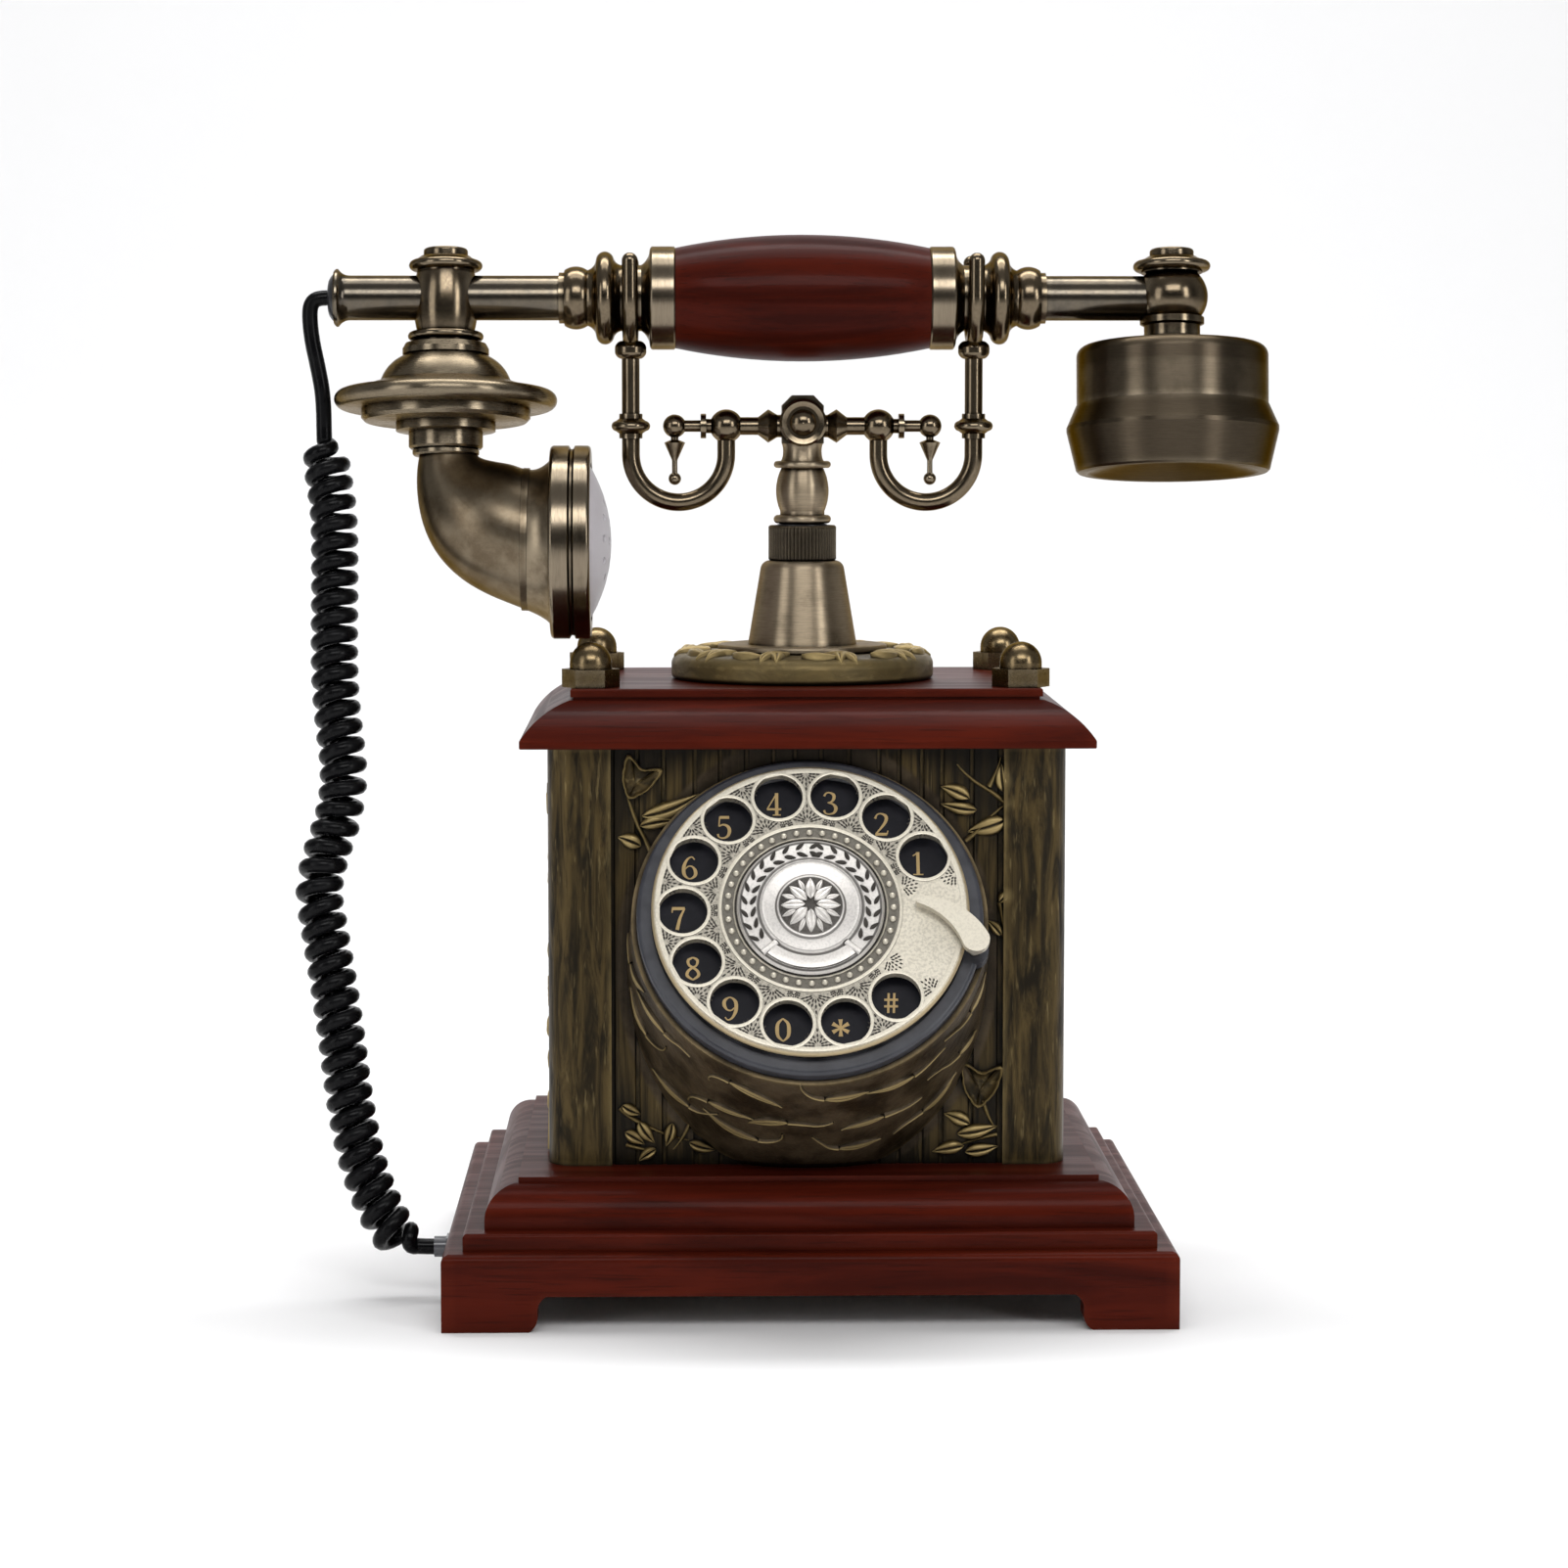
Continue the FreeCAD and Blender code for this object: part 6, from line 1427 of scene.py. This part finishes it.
class TELEPHONE_OT_brasswork(bpy.types.Operator):
    """Finishes the cradle and the handset's metal"""

    bl_idname = "telephone.brasswork"
    bl_label = "Brasswork"

    def execute(self, context):
        # Cone, column, cup, horn and tubes get lit and shaded copies of the brass, as painted light and
        # shade.
        dress("brass_upright", "cradle_column")
        dress("brass_saucer", "transmitter_flange")
        dress("brass_cup", "receiver_cup", "receiver_cap")
        dress("brass_horn", "elbow_horn")
        dress("brass_level", "ferrule_left", "ferrule_right", "mouthpiece_ring")
        dress("brass_tube", "tube_left", "tube_right")
        dress("brass_polished", "finial_caps", "cradle_head", "head_boss", "pendants")
        for side, _ in SIDES:
            for piece in ("neck_", "tee_", "crossarm_", "hook_", "fork_"):
                dress("brass_polished", piece + side)
        dress("pale_plastic", "mouthpiece_face")
        dress("black_plastic", "microphone_capsule", "receiver_capsule")
        return {"FINISHED"}


class TELEPHONE_OT_finger_wheel(bpy.types.Operator):
    """Finishes the finger wheel and lays its fans, rims and beads"""

    bl_idname = "telephone.finger_wheel"
    bl_label = "Finger wheel"

    BEAD_CIRCLE = 22.9
    BEAD_RADIUS = 0.95
    BEAD_POINTS = 10
    BEAD_LEVELS = (-8, 15, 40, 65, 84)
    # Raised rings round the wheel: inner and outer radius, and height.
    RINGS = ((20.9, 21.5, 0.45), (24.5, 25.4, 0.40), (41.6, 42.9, 0.15))
    RING_POINTS = 120
    # The rim of a finger hole: width, height and points.
    HOLE_RIM = (0.9, 0.28, 36)
    # Fans of ticks: the circle that they start from, whether they open inward, length, ticks, spread.
    GAP_FANS = ((41.4, True, 5.2, 11, 170.0), (26.2, False, 5.6, 11, 150.0))
    HOLE_FAN = (25.8, False, 2.4, 9, 170.0)
    LAST_FANS = ((41.4, True, 4.2, 9, 150.0), (26.2, False, 4.4, 9, 140.0))
    # How far the last fans stand from the first and the last hole, in degrees.
    LAST_TURN = 12.5
    # Rows of a fan: share of its length, and how many ticks fewer. Its outer ticks stand back.
    FAN_ROWS = ((0.22, 4), (0.50, 2), (0.80, 0))
    FAN_DROOP = 0.35
    # A tick: share of the fan's length, then width, height, bend and rings.
    TICK_SHARE = 0.25
    TICK = (0.60, 0.09, 0.0, 4)

    def bead(self, shape, surface, centre):
        """A half ball, from a little below the surface to its top."""
        rings = []
        for level in self.BEAD_LEVELS:
            reach, high = polar(self.BEAD_RADIUS, level)
            turns = [360.0 * number / self.BEAD_POINTS for number in range(self.BEAD_POINTS)]
            rings.append([surface(*polar(reach, turn, centre), high) for turn in turns])
        shape.loft(rings)

    def fan(self, shape, surface, turn, kind):
        """Rows of engraved ticks that spread from one point, towards or away from the dial's middle."""
        radius, inward, length, ticks, spread = kind
        for share, fewer in self.FAN_ROWS:
            count = ticks - fewer
            for number in range(count):
                lean = spread * (number / (count - 1) - 0.5)
                heading = turn + (180.0 if inward else 0.0) + lean
                reach = length * share * (1.0 - self.FAN_DROOP * abs(2 * lean / spread))
                start = polar(reach, heading, polar(radius, turn))
                add_leaf(shape, surface, start, heading, length * self.TICK_SHARE, *self.TICK)

    def execute(self, context):
        dress("wheel_silver", "finger_wheel")
        dress("antique_silver", "finger_stop")
        dress("rim_plastic", "dial_ring")
        dress("bright_steel", "dial_chassis")
        surface = dial_face(WHEEL_TOP)
        shape = Shape()
        ticks = Shape()
        turns = [FINGER_FIRST + FINGER_STEP * number for number in range(len(FIGURES))]
        rim, rim_high, rim_points = self.HOLE_RIM
        for turn in turns:
            centre = polar(FINGER_CIRCLE, turn)
            add_ring(shape, surface, centre, FINGER_HOLE, FINGER_HOLE + rim, rim_high, rim_points)
            if turn < turns[-1]:
                for kind in self.GAP_FANS:
                    self.fan(ticks, surface, turn + FINGER_STEP / 2, kind)
            self.fan(ticks, surface, turn, self.HOLE_FAN)
        for turn in (turns[0] - self.LAST_TURN, turns[-1] + self.LAST_TURN):
            for kind in self.LAST_FANS:
                self.fan(ticks, surface, turn, kind)
        for inner, outer, high in self.RINGS:
            add_ring(shape, surface, (0, 0), inner, outer, high, self.RING_POINTS)
        bead_count = context.scene.telephone_sizes.bead_count
        for number in range(bead_count):
            self.bead(shape, surface, polar(self.BEAD_CIRCLE, 360.0 * number / bead_count))
        shape.make("wheel_ornament", "antique_silver", "dial", "antique_silver", ORNAMENT_SHARP)
        ticks.make("wheel_engraving", "engraved_black", "dial", "antique_silver", ORNAMENT_SHARP)
        return {"FINISHED"}


class TELEPHONE_OT_badge(bpy.types.Operator):
    """Finishes the badge with a rosette, a wreath and a plain ribbon"""

    bl_idname = "telephone.badge"
    bl_label = "Badge"

    # The dome in the middle: height, drop at its edge and radius. The ring round it lies lower.
    DOME = (1.0, 1.1, 9.2)
    RING_DROP = 0.1
    # Inner and outer radius of the ribbon, its edge, and half the angle that it takes up at the bottom.
    RIBBON = (15.3, 18.7)
    RIBBON_EDGE = ((0.0, -0.1), (0.0, 0.42), (0.4, 0.5))
    RIBBON_HALF = 40.0
    RIBBON_STEPS = 12
    BOTTOM = 270.0
    # The rolls at its ends: degrees past the end, inset, length and bend, then width, height and taper.
    ROLL_TURN = 1.5
    ROLL_INSET = 0.8
    ROLL_LENGTH = 5.0
    ROLL_BEND = 12.0
    ROLL = (2.0, 0.85, 0.1)
    # Leaves of the rosette by turns: first circle, length, width and height.
    PETALS = ((1.6, 6.6, 3.4, 0.75), (4.4, 4.2, 1.7, 0.5))
    PETAL_STEP = 22.5
    # The wreath: pairs of leaves between two angles, the circles that they start from and their lean.
    WREATH_PAIRS = 21
    WREATH_TURNS = (-36.0, 216.0)
    WREATH_ROWS = ((16.6, 30.0), (17.6, -30.0))
    # A leaf of the wreath: length, width, height, bend and rings.
    WREATH_LEAF = (3.2, 1.15, 0.30, 0.0, 6)

    def middle(self, across, upward, high):
        """The badge's domed middle."""
        top, drop, radius = self.DOME
        level = BADGE_TOP + top - drop * (math.hypot(across, upward) / radius) ** 2
        return dial_point(across, upward, level + high)

    def ribbon(self, shape, surface):
        """A plain ribbon below the wreath, with a roll at both ends."""
        inner, outer = self.RIBBON
        section = [(inner + across, level) for across, level in self.RIBBON_EDGE]
        section += [(outer - across, level) for across, level in reversed(self.RIBBON_EDGE)]
        rings = []
        for number in range(2 * self.RIBBON_STEPS + 1):
            turn = self.BOTTOM + self.RIBBON_HALF * (number / self.RIBBON_STEPS - 1)
            rings.append([surface(*polar(radius, turn), level) for radius, level in section])
        shape.loft(rings)
        for side in (-1, 1):
            turn = self.BOTTOM + side * (self.RIBBON_HALF + self.ROLL_TURN)
            start = polar(inner - self.ROLL_INSET, turn)
            path = turned_path(start, turn, ((self.ROLL_LENGTH, side * self.ROLL_BEND),))
            add_stem(shape, surface, path, *self.ROLL)

    def execute(self, context):
        dress("badge_silver", "dial_badge")
        shape = Shape()
        for number in range(round(360.0 / self.PETAL_STEP)):
            turn = self.PETAL_STEP * number
            circle, length, width, high = self.PETALS[number % 2]
            add_leaf(shape, self.middle, polar(circle, turn), turn, length, width, high, 0.0)
        flat = dial_face(BADGE_TOP - self.RING_DROP)
        self.ribbon(shape, flat)
        wreath = Shape()
        first, last = self.WREATH_TURNS
        for number in range(self.WREATH_PAIRS):
            turn = first + (last - first) * number / (self.WREATH_PAIRS - 1)
            side = 1 if turn < 90 else -1
            for radius, lean in self.WREATH_ROWS:
                heading = turn + side * (90 + lean)
                add_leaf(wreath, flat, polar(radius, turn), heading, *self.WREATH_LEAF)
        shape.make("badge_rosette", "badge_ornament", "dial", "antique_silver", ORNAMENT_SHARP)
        wreath.make("badge_wreath", "engraved_black", "dial", "antique_silver", ORNAMENT_SHARP)
        return {"FINISHED"}


EASE_STEPS = 5


def between(a, b, c, d, share):
    """A value on the smooth line through four values, between the middle two."""
    bend = (2 * a - 5 * b + 4 * c - d) * share**2 + (3 * b - a - 3 * c + d) * share**3
    return 0.5 * (2 * b + (c - a) * share + bend)


def eased(points):
    """A smooth line through points of (across, upward, width)."""
    ends = (points[0], *points, points[-1])
    line = []
    for four in zip(ends, ends[1:], ends[2:], ends[3:]):
        for step in range(EASE_STEPS):
            line.append(tuple(between(*values, step / EASE_STEPS) for values in zip(*four)))
    line.append(points[-1])
    return line


# Strokes of the figures: points of (across, upward, width) in hundredths of the height.
FIGURE_MIDDLE = (30, 50)
SIX = (
    (50, 86, 5), (38, 98, 5), (20, 86, 9), (7, 55, 14), (9, 20, 13), (29, 2, 5),
    (50, 14, 12), (53, 34, 14), (42, 54, 7), (26, 57, 5), (11, 44, 5),
)
STROKES = {
    "1": (
        ((30, 0, 13), (30, 100, 13)),
        ((10, 84, 5), (30, 98, 5)),
        ((10, 2, 5), (50, 2, 5)),
    ),
    "2": (
        ((6, 76, 10), (14, 93, 6), (30, 98, 6), (48, 88, 12), (50, 70, 13), (38, 46, 10), (7, 7, 5)),
        ((6, 6, 12), (52, 6, 12)),
        ((52, 6, 6), (56, 22, 4)),
    ),
    "3": (
        ((8, 82, 9), (16, 95, 6), (30, 98, 6), (46, 88, 12), (46, 70, 12), (36, 57, 7), (22, 53, 5)),
        ((22, 53, 5), (42, 47, 8), (54, 30, 14), (47, 9, 10), (28, 2, 6), (12, 6, 6), (7, 19, 9)),
    ),
    "4": (
        ((42, 98, 5), (4, 29, 5)),
        ((3, 28, 9), (60, 28, 9)),
        ((42, 100, 13), (42, 0, 13)),
        ((26, 2, 5), (58, 2, 5)),
    ),
    "5": (
        ((14, 94, 12), (52, 94, 12)),
        ((14, 97, 5), (11, 54, 5)),
        (
            (11, 54, 5), (28, 62, 7), (47, 53, 12), (53, 32, 14),
            (44, 9, 10), (25, 2, 6), (10, 8, 6), (7, 20, 9),
        ),
    ),
    "6": (SIX,),
    "7": (
        ((5, 92, 13), (55, 92, 13)),
        ((54, 92, 6), (36, 50, 11), (25, 0, 14)),
        ((6, 94, 5), (5, 74, 5)),
    ),
    "8": (
        ((30, 98, 6), (48, 86, 11), (44, 64, 8), (30, 55, 8), (12, 40, 11), (8, 20, 12), (30, 2, 6)),
        ((30, 98, 6), (12, 86, 11), (15, 66, 10), (30, 55, 9), (48, 40, 11), (52, 20, 12), (30, 2, 6)),
    ),
    "9": (tuple((60 - across, 100 - upward, width) for across, upward, width in SIX),),
    "0": (
        ((30, 98, 5), (49, 78, 12), (53, 50, 15), (49, 22, 12), (30, 2, 5)),
        ((30, 98, 5), (11, 78, 12), (7, 50, 15), (11, 22, 12), (30, 2, 5)),
    ),
    "*": tuple(((30, 50, 6), (*polar(36, turn, FIGURE_MIDDLE), 17)) for turn in range(30, 390, 60)),
    "#": (
        ((18, 8, 9), (22, 92, 9)),
        ((40, 8, 9), (44, 92, 9)),
        ((3, 36, 9), (57, 36, 9)),
        ((4, 64, 9), (58, 64, 9)),
    ),
}


class TELEPHONE_OT_number_plate(bpy.types.Operator):
    """Finishes the number plate and prints its figures"""

    bl_idname = "telephone.number_plate"
    bl_label = "Number plate"

    SHIFT = (-1.2, 0.5)
    THICK = 0.12
    STROKE_ROOT = -0.05
    # Each stroke of a figure lies a little higher, so that no two faces share a place.
    STROKE_STEP = 0.004

    def stroke(self, shape, surface, points, top):
        """A flat stroke through points of (across, upward, width)."""
        rings = []
        for place, (across, upward, width) in enumerate(points):
            before = points[max(0, place - 1)]
            after = points[min(len(points) - 1, place + 1)]
            along = math.atan2(after[1] - before[1], after[0] - before[0])
            ring = []
            for side, level in ((-1, self.STROKE_ROOT), (-1, top), (1, top), (1, self.STROKE_ROOT)):
                x = across - math.sin(along) * width / 2 * side
                y = upward + math.cos(along) * width / 2 * side
                ring.append(surface(x, y, level))
            rings.append(ring)
        shape.loft(rings)

    def execute(self, context):
        dress("plate_black", "number_plate")
        surface = dial_face(PLATE_TOP)
        unit = size("numeral_height") / 100
        shape = Shape()
        for number, figure in enumerate(FIGURES):
            middle = polar(FINGER_CIRCLE, FINGER_FIRST + FINGER_STEP * number)
            left = middle[0] - FIGURE_MIDDLE[0] * unit + self.SHIFT[0]
            low = middle[1] - FIGURE_MIDDLE[1] * unit + self.SHIFT[1]
            for depth, stroke in enumerate(STROKES[figure]):
                points = []
                for x, y, width in eased(stroke):
                    points.append((left + x * unit, low + y * unit, width * unit))
                self.stroke(shape, surface, points, self.THICK + self.STROKE_STEP * depth)
        shape.make("plate_figures", "figure_gold", "base", "plate_black", FIGURE_SHARP)
        return {"FINISHED"}


class TELEPHONE_OT_inside(bpy.types.Operator):
    """Finishes the pieces inside the casing"""

    bl_idname = "telephone.inside"
    bl_label = "Inside"

    def execute(self, context):
        dress("bright_steel", "tie_rods", "tie_rod_nuts", "return_spring", "plunger_rod", "dial_shaft")
        dress("brass_polished", "drive_gear", "governor")
        dress("black_plastic", "ringer", "hook_switch")
        dress("pale_plastic", "board_standoffs")
        dress("circuit_green", "circuit_board")
        return {"FINISHED"}


class TELEPHONE_PT_panel(bpy.types.Panel):
    """Lists the telephone's pieces in the sidebar"""

    bl_label = "Telephone"
    bl_idname = "TELEPHONE_PT_panel"
    bl_space_type = "VIEW_3D"
    bl_region_type = "UI"
    bl_category = "Telephone"

    def draw(self, context):
        for group in ("telephone_sizes", "telephone_colours", "telephone_stage"):
            settings = getattr(context.scene, group)
            for key in settings.__annotations__:
                self.layout.prop(settings, key)
        for piece in PIECES:
            self.layout.operator(piece.bl_idname)


SETTINGS = (
    ("telephone_sizes", TelephoneSizes),
    ("telephone_colours", TelephoneColours),
    ("telephone_stage", TelephoneStage),
)
PIECES = (
    TELEPHONE_OT_stage,
    TELEPHONE_OT_cord,
    TELEPHONE_OT_woodwork,
    TELEPHONE_OT_casing,
    TELEPHONE_OT_vines,
    TELEPHONE_OT_pedestal,
    TELEPHONE_OT_brasswork,
    TELEPHONE_OT_number_plate,
    TELEPHONE_OT_finger_wheel,
    TELEPHONE_OT_badge,
    TELEPHONE_OT_inside,
)


def register():
    for name, settings in SETTINGS:
        bpy.utils.register_class(settings)
        setattr(bpy.types.Scene, name, bpy.props.PointerProperty(type=settings))
    for piece in PIECES:
        bpy.utils.register_class(piece)
    bpy.utils.register_class(TELEPHONE_PT_panel)


def unregister():
    bpy.utils.unregister_class(TELEPHONE_PT_panel)
    for piece in reversed(PIECES):
        bpy.utils.unregister_class(piece)
    for name, settings in reversed(SETTINGS):
        delattr(bpy.types.Scene, name)
        bpy.utils.unregister_class(settings)


def main():
    register()
    for piece in PIECES:
        group, action = piece.bl_idname.split(".")
        getattr(getattr(bpy.ops, group), action)()
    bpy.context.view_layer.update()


if __name__ == "__main__":
    main()
